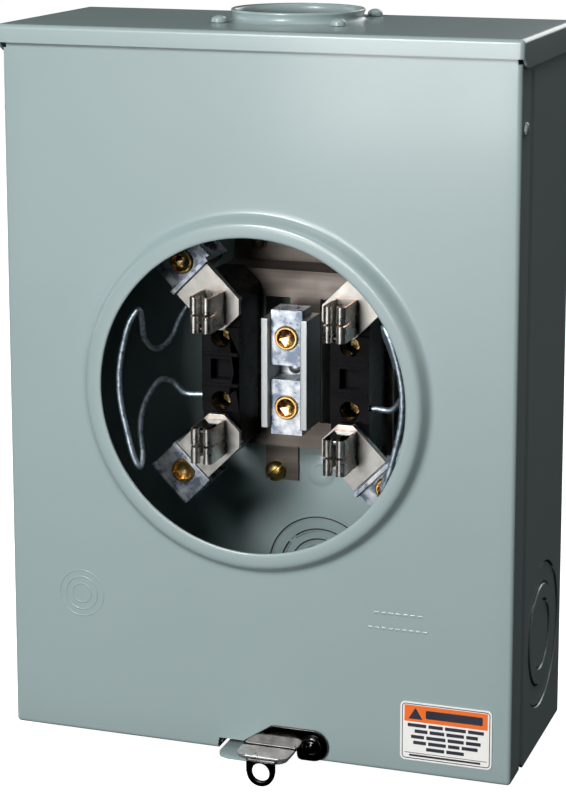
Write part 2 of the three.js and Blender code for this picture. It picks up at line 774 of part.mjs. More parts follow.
function insulatingBlock(side) {
  const back = BRACKET_FRONT - GAP;
  const x = side * BLOCK_X;
  let body = prismY(blockOutline(side), BLOCK_FRONT, back);
  const across = [side > 0 ? 20 : -50, side > 0 ? 50 : -20];
  for (const end of [-1, 1]) {
    const pad = [METER_Z + end * PAD_RISE, METER_Z + end * 60].sort((a, b) => a - b);
    body = cut(body, block(across, [BLOCK_FRONT - 1, BLOCK_PAD], pad));
    const rib = METER_Z + end * 8.5;
    const ribAcross = [x - 10.3, x + 10.3];
    body = join(body, block(ribAcross, [BLOCK_FRONT - 1.2, BLOCK_FRONT + 1], [rib - 0.9, rib + 0.9]));
    const screwZ = METER_Z + end * BLOCK_SCREW_RISE;
    body = cut(body, rodY(5.5, x, screwZ, BLOCK_FRONT - 2, -47, 14));
    body = cut(body, rodY(SCREW_CLEARANCE, x, screwZ, -48, back + 1, 8));
    const jawZ = METER_Z + end * JAW_RISE;
    body = cut(body, rodY(SCREW_CLEARANCE, side * JAW_X, jawZ, BLOCK_FRONT - 2, back + 1, 8));
    body = cut(body, rodY(5.2, side * JAW_X, jawZ, FIXING_POCKET, back + 1, 8));
  }
  body = cut(body, block([x - 5.5, x + 5.5], [BLOCK_FRONT - 2, -58], [METER_Z - 5.5, METER_Z + 5.5]));
  for (const hole of [WIRE_LOW, WIRE_HIGH]) {
    const span = [side * 42.8, side * 50].sort((a, b) => a - b);
    body = cut(body, rodX(WIRE_DIAMETER / 2 + GAP, hole.y, hole.z, span[0], span[1], 8));
  }
  return body;
}

addMesh('insulating_block_left', insulatingBlock(-1), blackPlastic);
addMesh('insulating_block_right', insulatingBlock(1), blackPlastic);

// Hexagon-head screw at the bottom of the block's pocket, through to the bracket.
function blockScrew(x, z) {
  const seat = -47 - GAP;
  const head = new THREE.CylinderGeometry(4.4, 4.4, 4, 6).translate(x, seat - 2, z);
  return join(toSolid(head), rodY(2.4, x, z, seat - 1, -24, 8));
}

for (const [side, sideName] of [[-1, 'left'], [1, 'right']]) {
  for (const [end, endName] of [[-1, 'lower'], [1, 'upper']]) {
    const screw = blockScrew(side * BLOCK_X, METER_Z + end * BLOCK_SCREW_RISE);
    addMesh(`block_screw_${endName}_${sideName}`, screw, yellowZinc);
  }
}

// ---------- four contacts: plate, jaw, lug, set screw and fixing screw ----------

// Contacts are drawn in a frame whose x runs outwards along the diagonal of the opening.
const PLATE_BACK = PLATE_FRONT + PLATE_THICK;
const TONGUE_LUG_FRONT = PLATE_BACK + GAP;
const TONGUE_LUG_BACK = BLOCK_PAD - GAP;
const JAW_ALONG = (JAW_X + JAW_RISE) / Math.SQRT2;
const JAW_ACROSS = (JAW_X - JAW_RISE) / Math.SQRT2;

function contactPlate(across) {
  const corners = [
    [LUG_START - GAP - 0.4, 12.4],
    [45, 12.4],
    [38.9, 6.3],
    [38.9, -6.3],
    [45, -12.4],
    [LUG_START - GAP - 0.4, -12.4],
  ];
  const body = prismY(corners.reverse(), PLATE_FRONT, PLATE_BACK);
  return cut(body, rodY(SCREW_CLEARANCE, JAW_ALONG, across, PLATE_FRONT - 1, PLATE_BACK + 1, 8));
}

// Lug section across the wire: body with two raised edges, and the seat under the plate.
function lugSection() {
  const ridge = 2.4;
  const crest = LUG_FRONT - 4;
  const shape = new THREE.Shape();
  shape.moveTo(LUG_START, PLATE_FRONT);
  shape.lineTo(LUG_START + ridge, PLATE_FRONT);
  shape.lineTo(LUG_START + ridge, LUG_FRONT);
  shape.lineTo(LUG_END - ridge, LUG_FRONT);
  shape.lineTo(LUG_END - ridge, crest + 0.8);
  shape.lineTo(LUG_END - ridge + 0.7, crest);
  shape.lineTo(LUG_END - 0.7, crest);
  shape.lineTo(LUG_END, crest + 0.8);
  shape.lineTo(LUG_END, LUG_BACK - 2);
  shape.lineTo(LUG_END - 2, LUG_BACK);
  shape.lineTo(LUG_START, LUG_BACK);
  const bore = new THREE.Path();
  bore.absarc(SET_SCREW_ALONG, LUG_BORE_Y, LUG_BORE, 0, 2 * Math.PI, true);
  shape.holes.push(bore);
  return shape;
}

function lug(across) {
  const half = LUG_LENGTH / 2;
  let body = prismZ(lugSection(), -half, half, 8);
  const seatDepth = [TONGUE_LUG_FRONT, TONGUE_LUG_BACK];
  body = join(body, block([44.6, LUG_START + 1], seatDepth, [-11, 11]));
  body = cut(body, rodY(SET_SCREW_RADIUS + GAP, SET_SCREW_ALONG, 0, LUG_FRONT - 1, LUG_BORE_Y, 16));
  return cut(body, rodY(SCREW_CLEARANCE, JAW_ALONG, across, TONGUE_LUG_FRONT - 1, TONGUE_LUG_BACK + 1, 8));
}

// Hexagon-socket set screw: it moves towards the wall to clamp the wire.
function setScrew(radius, along, front, length, socket) {
  const profile = [
    [0, front + length],
    [radius - 1.6, front + length],
    [radius, front + length - 1.6],
    [radius, front + 0.9],
    [radius - 0.9, front],
    [0, front],
  ];
  const hex = new THREE.CylinderGeometry(socket, socket, 10, 6).translate(along, front, 0);
  return cut(turnY(profile.reverse(), along, 0, 16), toSolid(hex));
}

// Screw from behind the block, through the lug's seat and into the plate.
function fixingScrew(across) {
  const seat = FIXING_POCKET + GAP;
  const profile = [
    [0, seat + 4.4],
    [4.6, seat + 4.4],
    [4.6, seat],
    [2.4, seat],
    [2.4, PLATE_FRONT + 0.4],
    [0, PLATE_FRONT + 0.4],
  ];
  return turnY(profile.reverse(), JAW_ALONG, across, 12);
}

// Jaw section in x and y: base, two leaves and their rolled fingers, base at y = 0.
const JAW_DEPTH = PLATE_FRONT - GAP - JAW_FRONT;
const FINGER = 2.2;

function jawBody() {
  const half = JAW_WIDTH / 2;
  const halfHeight = JAW_HEIGHT / 2;
  const leaf = 1.2;
  const reach = -JAW_DEPTH + FINGER;
  const height = [-halfHeight, halfHeight];
  let body = block([-half, half], [-1.2, 0], height);
  for (const side of [-1, 1]) {
    const wall = [side * half, side * (half - leaf)].sort((a, b) => a - b);
    body = join(body, block(wall, [reach, -0.6], height));
    body = join(body, rodZ(FINGER, side * (half - FINGER), reach, ...height, 10));
  }
  const slit = block([-half - 1, half + 1], [-JAW_DEPTH - 1, -JAW_DEPTH + 11], [-0.45, 0.45]);
  body = cut(body, slit);
  const web = [-halfHeight, -halfHeight + leaf];
  return join(body, block([-half + 0.4, half - 0.4], [reach - 1.6, -0.6], web));
}

const contacts = [
  { name: 'upper_left', side: -1, end: 1, turn: -0.75 * Math.PI },
  { name: 'upper_right', side: 1, end: 1, turn: -0.25 * Math.PI },
  { name: 'lower_left', side: -1, end: -1, turn: 0.75 * Math.PI },
  { name: 'lower_right', side: 1, end: -1, turn: 0.25 * Math.PI },
];

function addContact({ name, side, end, turn }) {
  const diagonal = new THREE.Group();
  diagonal.position.z = METER_Z;
  diagonal.rotation.y = turn;
  group.add(diagonal);
  const across = -side * end * JAW_ACROSS;
  addMesh(`contact_plate_${name}`, contactPlate(across), tinPlate, diagonal);
  addMesh(`lug_${name}`, lug(across), aluminium, diagonal);
  const screw = setScrew(SET_SCREW_RADIUS, SET_SCREW_ALONG, LUG_FRONT - 1.5, 8.6, 4.6);
  addMesh(`lug_screw_${name}`, screw, yellowZinc, diagonal);
  addMesh(`fixing_screw_${name}`, fixingScrew(across), yellowZinc, diagonal);
  const jaw = addMesh(`jaw_${name}`, jawBody(), tinPlate);
  jaw.position.set(side * JAW_X, PLATE_FRONT - GAP, METER_Z + end * JAW_RISE);
  jaw.rotation.y = end > 0 ? 0 : Math.PI;
}

contacts.forEach(addContact);

// ---------- neutral ----------

// Extruded channel in x and y that holds the two neutral lugs.
function neutralChannel() {
  const inner = NEUTRAL_HALF + GAP;
  const outer = inner + CHANNEL_WALL;
  const floor = NEUTRAL_BACK + GAP;
  const corners = [
    [-outer, CHANNEL_FRONT],
    [-inner, CHANNEL_FRONT],
    [-inner, floor],
    [inner, floor],
    [inner, CHANNEL_FRONT],
    [outer, CHANNEL_FRONT],
    [outer, floor + 2.2],
    [-outer, floor + 2.2],
  ];
  const body = prismZ(corners, METER_Z - CHANNEL_HALF_HEIGHT, METER_Z + CHANNEL_HALF_HEIGHT);
  return cut(body, rodY(SCREW_CLEARANCE, 0, METER_Z, floor - 1, floor + 4, 8));
}

function neutralSpacer() {
  const front = NEUTRAL_BACK + GAP + 2.2 + GAP;
  const body = block([-6, 6], [front, BRACKET_FRONT - GAP], [METER_Z - 22, METER_Z + 22]);
  return cut(body, rodY(SCREW_CLEARANCE, 0, METER_Z, front - 1, BRACKET_FRONT + 1, 8));
}

// Lug with an upright wire hole, drawn about its own centre height.
function neutralLug() {
  const half = NEUTRAL_LUG_LENGTH / 2;
  const section = new THREE.Shape();
  section.moveTo(-NEUTRAL_HALF, NEUTRAL_FRONT);
  section.lineTo(NEUTRAL_HALF, NEUTRAL_FRONT);
  section.lineTo(NEUTRAL_HALF, NEUTRAL_BACK);
  section.lineTo(-NEUTRAL_HALF, NEUTRAL_BACK);
  const bore = new THREE.Path();
  bore.absarc(0, NEUTRAL_BORE_Y, NEUTRAL_BORE, 0, 2 * Math.PI, true);
  section.holes.push(bore);
  const body = prismZ(section, -half, half, 6);
  return cut(body, rodY(SET_SCREW_RADIUS + GAP, 0, 0, NEUTRAL_FRONT - 1, NEUTRAL_BORE_Y + 3.5, 16));
}

// Screw from the channel's floor, through the spacer and into the bracket.
function neutralScrew() {
  const seat = NEUTRAL_BACK;
  const profile = [
    [0, -24],
    [2.4, -24],
    [2.4, seat],
    [3.6, seat],
    [3.6, seat - 1.6],
    [2.4, seat - 2.4],
    [0, seat - 2.6],
  ];
  return turnY(profile.reverse(), 0, METER_Z, 12);
}

addMesh('neutral_channel', neutralChannel(), aluminium);
addMesh('neutral_spacer', neutralSpacer(), bracketSteel);
addMesh('neutral_screw', neutralScrew(), yellowZinc);

for (const [end, name] of [[1, 'upper'], [-1, 'lower']]) {
  const centre = METER_Z + end * NEUTRAL_LUG_RISE;
  addMesh(`neutral_lug_${name}`, neutralLug(), aluminium).position.z = centre;
  const screw = setScrew(SET_SCREW_RADIUS, 0, NEUTRAL_FRONT - 1.2, 4.6, 4.6);
  addMesh(`neutral_lug_screw_${name}`, screw, yellowZinc).position.z = centre;
}

// ---------- meter support wires ----------

// Route of the right-hand wire: out of the block, round behind the opening, and back in.
const WIRE_ROUTE = [
  [43.2, WIRE_LOW.y, WIRE_LOW.z],
  [50, WIRE_LOW.y, WIRE_LOW.z],
  [58.4, -61, -12.2],
  [64.3, -64, -5.6],
  [68.6, -70, -3.4],
  [72.3, -78, -9.4],
  [73.6, -86, -18.6],
  [71.2, -94, -29],
  [67, -101.5, -38.4],
  [66.8, -106, -42.6],
  [69.2, -107, -38],
  [73.4, -107, -23],
  [76.9, -107, -6],
  [77.2, -107, 9],
  [74.6, -107, 24],
  [70.4, -107, 37],
  [66.9, -105, 42],
  [66.7, -101, 36.5],
  [68.4, -93, 24],
  [66.4, -81, 16.2],
  [62.8, -70, 20.1],
  [60, -62.5, 30.4],
  [55.5, -58.6, 37.6],
  [50, WIRE_HIGH.y, WIRE_HIGH.z],
  [43.2, WIRE_HIGH.y, WIRE_HIGH.z],
];

function supportWire(side) {
  const points = WIRE_ROUTE.map(([x, y, z]) => new THREE.Vector3(side * x, y, z));
  const route = new THREE.CatmullRomCurve3(points, false, 'centripetal');
  const section = new THREE.Shape();
  section.absarc(0, 0, WIRE_DIAMETER / 2, 0, 2 * Math.PI, false);
  const settings = { steps: 50, curveSegments: 3, extrudePath: route, bevelEnabled: false };
  return toSolid(new THREE.ExtrudeGeometry(section, settings));
}

addMesh('meter_support_wire_left', supportWire(-1), wireSteel);
addMesh('meter_support_wire_right', supportWire(1), wireSteel);

export default group;
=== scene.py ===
import math

import bmesh
import bpy
import numpy as np
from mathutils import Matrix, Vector


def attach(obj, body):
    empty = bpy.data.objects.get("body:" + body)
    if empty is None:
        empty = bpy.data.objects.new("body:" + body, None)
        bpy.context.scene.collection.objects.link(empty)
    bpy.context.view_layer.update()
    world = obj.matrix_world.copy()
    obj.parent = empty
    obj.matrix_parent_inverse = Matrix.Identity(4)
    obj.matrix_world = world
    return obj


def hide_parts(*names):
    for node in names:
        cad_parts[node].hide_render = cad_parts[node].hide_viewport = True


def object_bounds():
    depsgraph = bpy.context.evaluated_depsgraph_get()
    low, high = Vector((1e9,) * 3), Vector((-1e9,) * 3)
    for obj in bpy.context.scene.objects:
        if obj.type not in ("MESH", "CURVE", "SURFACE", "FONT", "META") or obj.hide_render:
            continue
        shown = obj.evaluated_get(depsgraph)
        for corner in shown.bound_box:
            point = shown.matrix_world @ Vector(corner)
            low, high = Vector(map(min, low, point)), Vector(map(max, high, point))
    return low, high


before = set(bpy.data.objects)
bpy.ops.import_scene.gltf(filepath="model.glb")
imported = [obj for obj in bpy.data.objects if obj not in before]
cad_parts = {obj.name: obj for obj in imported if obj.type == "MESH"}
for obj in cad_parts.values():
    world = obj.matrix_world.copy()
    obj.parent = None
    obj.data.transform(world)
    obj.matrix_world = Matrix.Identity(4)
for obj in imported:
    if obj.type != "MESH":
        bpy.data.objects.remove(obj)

cad_low, cad_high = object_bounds()

# ---------- Camera, lights and the pale floor ----------
# The box is seen from its right and a little above, in soft light from the front left, so that
# the cover is bright, the hood's top is in half shade and the right side is dark.

camera_data = bpy.data.cameras.new("camera")
camera_data.lens = 105.3
camera_data.sensor_width = 36
camera_data.shift_x = -0.0111
camera_data.shift_y = -0.2
camera = bpy.data.objects.new("camera", camera_data)
camera.location = (0.3948, -1.2117, 0.2946)
turn, dip = math.radians(18.81), math.radians(10.21)
looking = Vector((-math.sin(turn) * math.cos(dip), math.cos(turn) * math.cos(dip), -math.sin(dip)))
camera.rotation_euler = looking.to_track_quat("-Z", "Y").to_euler()
bpy.context.scene.collection.objects.link(camera)
bpy.context.scene.camera = camera
bpy.context.scene.view_settings.view_transform = "Standard"
bpy.context.scene.view_settings.look = "None"


def soft_light(name, place, target, width, height, power, colour=(1, 1, 1)):
    """A rectangular area light at place that faces target; sizes in metres, power in watts."""
    data = bpy.data.lights.new(name, "AREA")
    data.shape = "RECTANGLE"
    data.size, data.size_y = width, height
    data.energy = power
    data.color = colour
    lamp = bpy.data.objects.new(name, data)
    lamp.location = place
    lamp.rotation_euler = (Vector(target) - Vector(place)).to_track_quat("-Z", "Y").to_euler()
    bpy.context.scene.collection.objects.link(lamp)
    return lamp


soft_light("key_softbox", (-0.36, -1.62, 0.80), (0, 0, 0.0), 0.45, 0.45, 25)
soft_light("front_panel", (-0.34, -2.1, 0.16), (0.02, 0, 0.05), 0.6, 0.6, 15)
soft_light("low_spark", (-0.46, -1.40, -0.34), (0, 0, -0.02), 0.3, 0.3, 0.5)
soft_light("back_fill", (0.5, 1.9, 1.0), (0, 0, 0), 1.4, 1.4, 18)
soft_light("side_fill", (2.2, -0.2, 0.8), (0, 0, 0), 1.2, 1.2, 4.4, (1, 0.98, 0.93))
soft_light("left_fill", (-2.2, 0.1, 0.5), (0, 0, 0), 1.2, 1.2, 8)
soft_light("top_fill", (0.5, -0.3, 2.2), (0, 0, 0), 1.0, 1.0, 11, (1, 0.98, 0.94))

world = bpy.data.worlds.new("pale_room")
world.use_nodes = True
world.node_tree.nodes["Background"].inputs["Color"].default_value = (1.0, 1.0, 1.0, 1)
world.node_tree.nodes["Background"].inputs["Strength"].default_value = 1.0
world.cycles_visibility.diffuse = False
world.cycles_visibility.glossy = False
world.cycles_visibility.transmission = False
bpy.context.scene.world = world

FLOOR_HEIGHT = cad_low.z - 0.0004
FLOOR_REACH = 9
floor_corners = [(-1, -1), (1, -1), (1, 1), (-1, 1)]
floor_points = [(x * FLOOR_REACH, y * FLOOR_REACH, FLOOR_HEIGHT) for x, y in floor_corners]
floor_mesh = bpy.data.meshes.new("floor")
floor_mesh.from_pydata(floor_points, [], [[0, 1, 2, 3]])
floor = bpy.data.objects.new("floor", floor_mesh)
bpy.context.scene.collection.objects.link(floor)
floor_finish = bpy.data.materials.new("pale_floor")
floor_finish.use_nodes = True
floor_shader = floor_finish.node_tree.nodes["Principled BSDF"]
floor_shader.inputs["Base Color"].default_value = (0.85, 0.85, 0.85, 1)
floor_shader.inputs["Roughness"].default_value = 0.9
floor_shader.inputs["Emission Color"].default_value = (1, 1, 1, 1)
floor_shader.inputs["Emission Strength"].default_value = 1.0
floor_mesh.materials.append(floor_finish)
floor.visible_diffuse = False
floor.visible_glossy = False

# ---------- Box: back and both sides ----------
# One sheet of 1.6 mm steel, bent into a channel, with baked grey enamel. The front edges are joggled
# inwards to pass under the cover's flanges. Knockouts are sheared part way through in rings.

TOP, BOTTOM = 190.5, -190.5
HALF_BOX = 138.0
SHEET = 1.6


class Finish:
    """A Principled material with the noise, ramp and bump nodes that its surface needs."""

    def __init__(self, name, colour, roughness, metallic=0.0, specular=0.5):
        self.material = bpy.data.materials.new(name)
        self.material.use_nodes = True
        self.tree = self.material.node_tree
        self.shader = self.tree.nodes["Principled BSDF"]
        self.set("Base Color", (*colour, 1))
        self.set("Roughness", roughness)
        self.set("Metallic", metallic)
        self.set("Specular IOR Level", specular)
        self.place = self.tree.nodes.new("ShaderNodeTexCoord").outputs["Object"]
        self.height = None

    def set(self, socket, value):
        self.shader.inputs[socket].default_value = value

    def stretched(self, scale, turn=(0, 0, 0)):
        """Object coordinates multiplied by scale on each axis, which draws a pattern out."""
        node = self.tree.nodes.new("ShaderNodeMapping")
        node.inputs["Scale"].default_value = scale
        node.inputs["Rotation"].default_value = turn
        self.tree.links.new(self.place, node.inputs["Vector"])
        return node.outputs["Vector"]

    def noise(self, scale, detail=3.0, vector=None, rough=0.5):
        node = self.tree.nodes.new("ShaderNodeTexNoise")
        node.inputs["Scale"].default_value = scale
        node.inputs["Detail"].default_value = detail
        node.inputs["Roughness"].default_value = rough
        self.tree.links.new(vector or self.place, node.inputs["Vector"])
        return node.outputs["Fac"]

    def spread(self, value, low, high, start=0.3, end=0.7):
        """value between start and end, carried over to low and high."""
        node = self.tree.nodes.new("ShaderNodeMapRange")
        for socket, number in zip(("From Min", "From Max", "To Min", "To Max"), (start, end, low, high)):
            node.inputs[socket].default_value = number
        self.tree.links.new(value, node.inputs["Value"])
        return node.outputs["Result"]

    def colours(self, value, stops):
        """A colour ramp: stops are (place, (r, g, b))."""
        node = self.tree.nodes.new("ShaderNodeValToRGB")
        ramp = node.color_ramp
        while len(ramp.elements) < len(stops):
            ramp.elements.new(0.5)
        for element, (place, colour) in zip(ramp.elements, stops):
            element.position = place
            element.color = (*colour, 1)
        self.tree.links.new(value, node.inputs["Fac"])
        return node.outputs["Color"]

    def feed(self, socket, output):
        self.tree.links.new(output, self.shader.inputs[socket])

    def tint(self, value, *stops):
        """Takes the base colour from a ramp over value."""
        self.feed("Base Color", self.colours(value, stops))

    def vary(self, value, low, high):
        """Lets the roughness follow value, from low to high."""
        self.feed("Roughness", self.spread(value, low, high))

    def bump(self, value, distance, strength=1.0):
        """Adds value, times distance in metres, to the surface's height."""
        node = self.tree.nodes.new("ShaderNodeBump")
        node.inputs["Distance"].default_value = distance
        node.inputs["Strength"].default_value = strength
        self.tree.links.new(value, node.inputs["Height"])
        if self.height is not None:
            self.tree.links.new(self.height, node.inputs["Normal"])
        self.height = node.outputs["Normal"]
        self.tree.links.new(self.height, self.shader.inputs["Normal"])


enamel = Finish("grey_enamel", (0.30, 0.38, 0.385), 0.34)
enamel_cloud = enamel.noise(9, 2)
enamel.tint(enamel_cloud, (0.3, (0.292, 0.372, 0.377)), (0.7, (0.306, 0.388, 0.392)))
enamel.vary(enamel.noise(24, 2), 0.33, 0.36)
enamel.bump(enamel.noise(700, 2), 0.00004, 0.25)
enamel.set("Coat Weight", 0.25)
enamel.set("Coat Roughness", 0.12)


def quads(rows, columns, wrap=False):
    """Faces of a grid of points stored row after row; wrap joins the last column to the first."""
    row = np.arange(rows - 1)[:, None]
    column = np.arange(columns if wrap else columns - 1)[None, :]
    after = (column + 1) % columns
    this, following = row * columns, (row + 1) * columns
    corners = (this + column, this + after, following + after, following + column)
    return np.stack(corners, -1).reshape(-1, 4)


def grid(points, wrap=False):
    """A part made of a rows by columns by 3 array of points."""
    rows, columns = points.shape[:2]
    return points.reshape(-1, 3), quads(rows, columns, wrap)


def placed(part, order, signs=(1, 1, 1), offset=(0, 0, 0)):
    """A part whose axes are taken in another order, multiplied by signs and moved."""
    points, faces = part
    return points[:, list(order)] * np.array(signs) + np.array(offset), faces


def cell(low, high, steps, centre=None, rings=(), gate=None, blend=6):
    """A rectangle in u and v with height h: rings of (radius, height) stand round centre, and past the
    last ring each ray runs straight to the rectangle's edge. gate(index, angle) scales ring heights."""
    (u0, v0), (u1, v1) = low, high
    if centre is None:
        u, v = np.linspace(u0, u1, steps + 1), np.linspace(v0, v1, steps + 1)
        flat = np.stack([*np.meshgrid(u, v), np.zeros((steps + 1, steps + 1))], -1)
        return grid(flat)
    s = np.arange(steps) / steps
    along_u, along_v = u0 + (u1 - u0) * s, v0 + (v1 - v0) * s
    edge_u = np.concatenate([along_u, np.full(steps, u1), u1 + u0 - along_u, np.full(steps, u0)])
    edge_v = np.concatenate([np.full(steps, v0), along_v, np.full(steps, v1), v1 + v0 - along_v])
    return round_in_edge(edge_u, edge_v, centre, rings, gate, blend)


def round_in_edge(edge_u, edge_v, centre, rings, gate=None, blend=6):
    """Rings of (radius, height) round centre, then rays to the closed edge (edge_u, edge_v)."""
    rings = np.array(rings, float)
    angle = np.unwrap(np.arctan2(edge_v - centre[1], edge_u - centre[0]))
    radius, height = rings[:, :1], np.repeat(rings[:, 1:2], len(angle), 1)
    if gate is not None:
        height = height * gate(np.arange(len(rings))[:, None], angle[None, :])
    u, v = centre[0] + radius * np.cos(angle), centre[1] + radius * np.sin(angle)
    s = (np.arange(1, blend + 1) / blend)[:, None] ** 1.5
    out_u, out_v = u[-1] + (edge_u - u[-1]) * s, v[-1] + (edge_v - v[-1]) * s
    out_h = height[-1] * np.ones_like(s)
    rounds, rays = np.stack([u, v, height], -1), np.stack([out_u, out_v, out_h], -1)
    return grid(np.concatenate([rounds, rays]), wrap=True)


def from_tie(angle, line, share):
    """0 at the two ties of a shear line and 1 away from them. The ties lie at an eighth of a turn and
    opposite, a quarter further round on every second line; share is the outer radius over this one."""
    away = np.abs((angle - math.pi / 4 - line * math.pi / 2 + math.pi / 2) % math.pi - math.pi / 2)
    return np.clip((away - 0.045 * share - 0.02) / 0.05, 0, 1)


def knockout(radii, depth=1.0, step=0.7):
    """Rings for concentric knockouts, and their gate. Each shear line is a narrow groove, and every
    second disc is pushed in a little. The groove fades out at two ties that turn from ring to ring."""
    rings = [(0, 0), (radii[-1] * 0.5, 0)]
    lines = [-1, -1]
    for index, radius in reversed(list(enumerate(radii))):
        inner = -step if index % 2 == 0 else 0
        outer = 0 if index % 2 == 0 else -step
        offsets = (-1.6, -0.95, -0.6, 0.3, 0.65, 1.2)
        heights = (inner, inner, -depth, -depth, outer, outer)
        for offset, height in zip(offsets, heights):
            rings.append((radius + offset, height))
            lines.append(index)
    rings[0] = (0, rings[2][1])
    rings[1] = (rings[1][0], rings[2][1])
    lines = np.array(lines)

    def gate(index, angle):
        line = lines[index]
        groove = from_tie(angle, line, radii[0] / np.array(radii)[line])
        return np.where(np.array([h for _, h in rings])[index] <= -depth, groove, 1.0)

    return rings, gate


def stations(edges, steps):
    """Evenly spaced values between each pair of neighbouring edges, without repeats."""
    spans = [np.linspace(a, b, steps + 1) for a, b in zip(edges, edges[1:])]
    return np.unique(np.concatenate(spans).round(6))


def joggle(depth):
    """How far a sheet has stepped in, depth behind the start of its joggle: a smooth step of 2.1 mm."""
    share = np.clip(depth / 3, 0, 1)
    return 2.1 * share * share * (3 - 2 * share)


def piece(name, parts, finishes, body, stands_for=(), inside=None, wall=0.0, edge=0.0, crease=38):
    """Joins parts, given in millimetres, into one mesh in metres. inside is a point behind an open
    sheet, wall its thickness, edge the width of the bevel on its sharp edges."""
    points, faces, start = [], [], 0
    for part_points, part_faces in parts:
        points.append(part_points)
        faces += [[int(i) + start for i in face] for face in part_faces]
        start += len(part_points)
    mesh = bpy.data.meshes.new(name)
    mesh.from_pydata((np.concatenate(points) * 0.001).tolist(), [], faces)
    shell = bmesh.new()
    shell.from_mesh(mesh)
    bmesh.ops.remove_doubles(shell, verts=shell.verts, dist=2e-6)
    bmesh.ops.recalc_face_normals(shell, faces=shell.faces)
    if inside is not None:
        centre = Vector(inside) * 0.001
        outward = sum(f.normal.dot(f.calc_center_median() - centre) * f.calc_area() for f in shell.faces)
        if outward < 0:
            bmesh.ops.reverse_faces(shell, faces=shell.faces)
    shell.to_mesh(mesh)
    shell.free()
    made = bpy.data.objects.new(name, mesh)
    bpy.context.scene.collection.objects.link(made)
    for finish in finishes:
        mesh.materials.append(finish.material)
    return dress(made, body, stands_for, wall, edge, crease)


def dress(made, body, stands_for, wall, edge, crease):
    """Thickens and bevels a mesh, keeps the result, and fixes the piece to its body."""
    if wall:
        thicken = made.modifiers.new("wall", "SOLIDIFY")
        thicken.thickness = wall * 0.001
        thicken.offset = -1
        thicken.material_offset_rim = len(made.data.materials) - 1
    if edge:
        bevel = made.modifiers.new("edge", "BEVEL")
        bevel.width = edge * 0.001
        bevel.segments = 2
        bevel.limit_method = "ANGLE"
        bevel.angle_limit = math.radians(crease)
        weighted = made.modifiers.new("shading", "WEIGHTED_NORMAL")
        weighted.keep_sharp = True
    made.data.polygons.foreach_set("use_smooth", np.ones(len(made.data.polygons), bool))
    if not edge and not wall:
        made.data.set_sharp_from_angle(angle=math.radians(crease))
    if wall or edge:
        bpy.context.view_layer.update()
        seen = made.evaluated_get(bpy.context.evaluated_depsgraph_get())
        baked = bpy.data.meshes.new_from_object(seen)
        baked.name = made.name
        made.modifiers.clear()
        made.data = baked
        if not edge:
            baked.set_sharp_from_angle(angle=math.radians(crease))
    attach(made, body)
    if stands_for:
        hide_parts(*stands_for)
    return made


ROW_EDGES = [BOTTOM, -85, -40, 130, 188.6]
ROW_STEPS = 24
BEND = 2.5
JOGGLE_START = -87
JOGGLE_DEPTHS = np.array([0, 0.5, 1, 1.5, 2, 2.5, 3, 6, 22.6])[:, None]
SIDE_KNOCKOUT, SIDE_RADII = (-47, -131), [38.5, 27.5, 18.5]
BACK_KNOCKOUT, BACK_RADII = (0, -124), [30.6, 23.7, 17.9, 14.0, 9.8]
HOLE_X, HOLE_LOW, HOLE_HIGH = 110, -165, 160
side_rings, side_gate = knockout(SIDE_RADII)
back_rings, back_gate = knockout(BACK_RADII)
dimple = [
    (0, -1.0), (3.2, -1.0), (3.5, -0.6), (4.2, -0.7), (4.6, -1.1),
    (6.2, -1.0), (7.4, -0.35), (8.6, 0), (10.4, 0),
]
plain_hole = [(3.6, 0), (5, 0)]
wall_rows = stations(ROW_EDGES, ROW_STEPS)
box_parts = []
for side in (-1, 1):
    for low, high in zip(ROW_EDGES, ROW_EDGES[1:]):
        feature = (SIDE_KNOCKOUT, side_rings, side_gate) if low == BOTTOM else (None, (), None)
        wall_cell = cell((JOGGLE_START, low), (-BEND, high), ROW_STEPS, *feature)
        box_parts.append(placed(wall_cell, (2, 0, 1), (side, 1, 1), (side * HALF_BOX, 0, 0)))
    bend_angle = np.linspace(0, math.pi / 2, 6)[:, None]
    bend_x = HALF_BOX - BEND + BEND * np.cos(bend_angle) + 0 * wall_rows
    bend_y = -BEND + BEND * np.sin(bend_angle) + 0 * wall_rows
    box_parts.append(grid(np.stack([side * bend_x, bend_y, wall_rows + 0 * bend_angle], -1)))
    step_x = HALF_BOX - joggle(JOGGLE_DEPTHS) + 0 * wall_rows
    step_y = JOGGLE_START - JOGGLE_DEPTHS + 0 * wall_rows
    step_z = np.maximum(wall_rows + 0 * JOGGLE_DEPTHS, BOTTOM + 2.1 * np.clip(JOGGLE_DEPTHS, 0, 1))
    box_parts.append(grid(np.stack([side * step_x, step_y, step_z], -1)))
COLUMNS = [-HALF_BOX + BEND, -60, 60, HALF_BOX - BEND]
for low, high in zip(ROW_EDGES, ROW_EDGES[1:]):
    for left, right in zip(COLUMNS, COLUMNS[1:]):
        middle = left == COLUMNS[1]
        hole_x = math.copysign(HOLE_X, left + right)
        feature = (None, (), None)
        if low == BOTTOM and middle:
            feature = (BACK_KNOCKOUT, back_rings, back_gate)
        elif low == BOTTOM:
            feature = ((hole_x, HOLE_LOW), plain_hole, None)
        elif low == ROW_EDGES[1] and middle:
            feature = ((0, -67), dimple, None)
        elif low == ROW_EDGES[3]:
            feature = ((0, 150) if middle else (hole_x, HOLE_HIGH), plain_hole, None)
        back_cell = cell((left, low), (right, high), ROW_STEPS, *feature)
        box_parts.append(placed(back_cell, (0, 2, 1)))
INSIDE_BOX = (0, -55, 0)
piece("box_shell", box_parts, [enamel], "root", ["box_back_and_sides"], INSIDE_BOX, wall=SHEET)

# Near-black finish for thin rings laid in the knockout grooves: painted shade standing in for the shade
# inside the grooves.
groove_shade = Finish("painted_groove_shade", (0.022, 0.024, 0.024), 0.55)
groove_shade.vary(groove_shade.noise(300, 3), 0.45, 0.65)


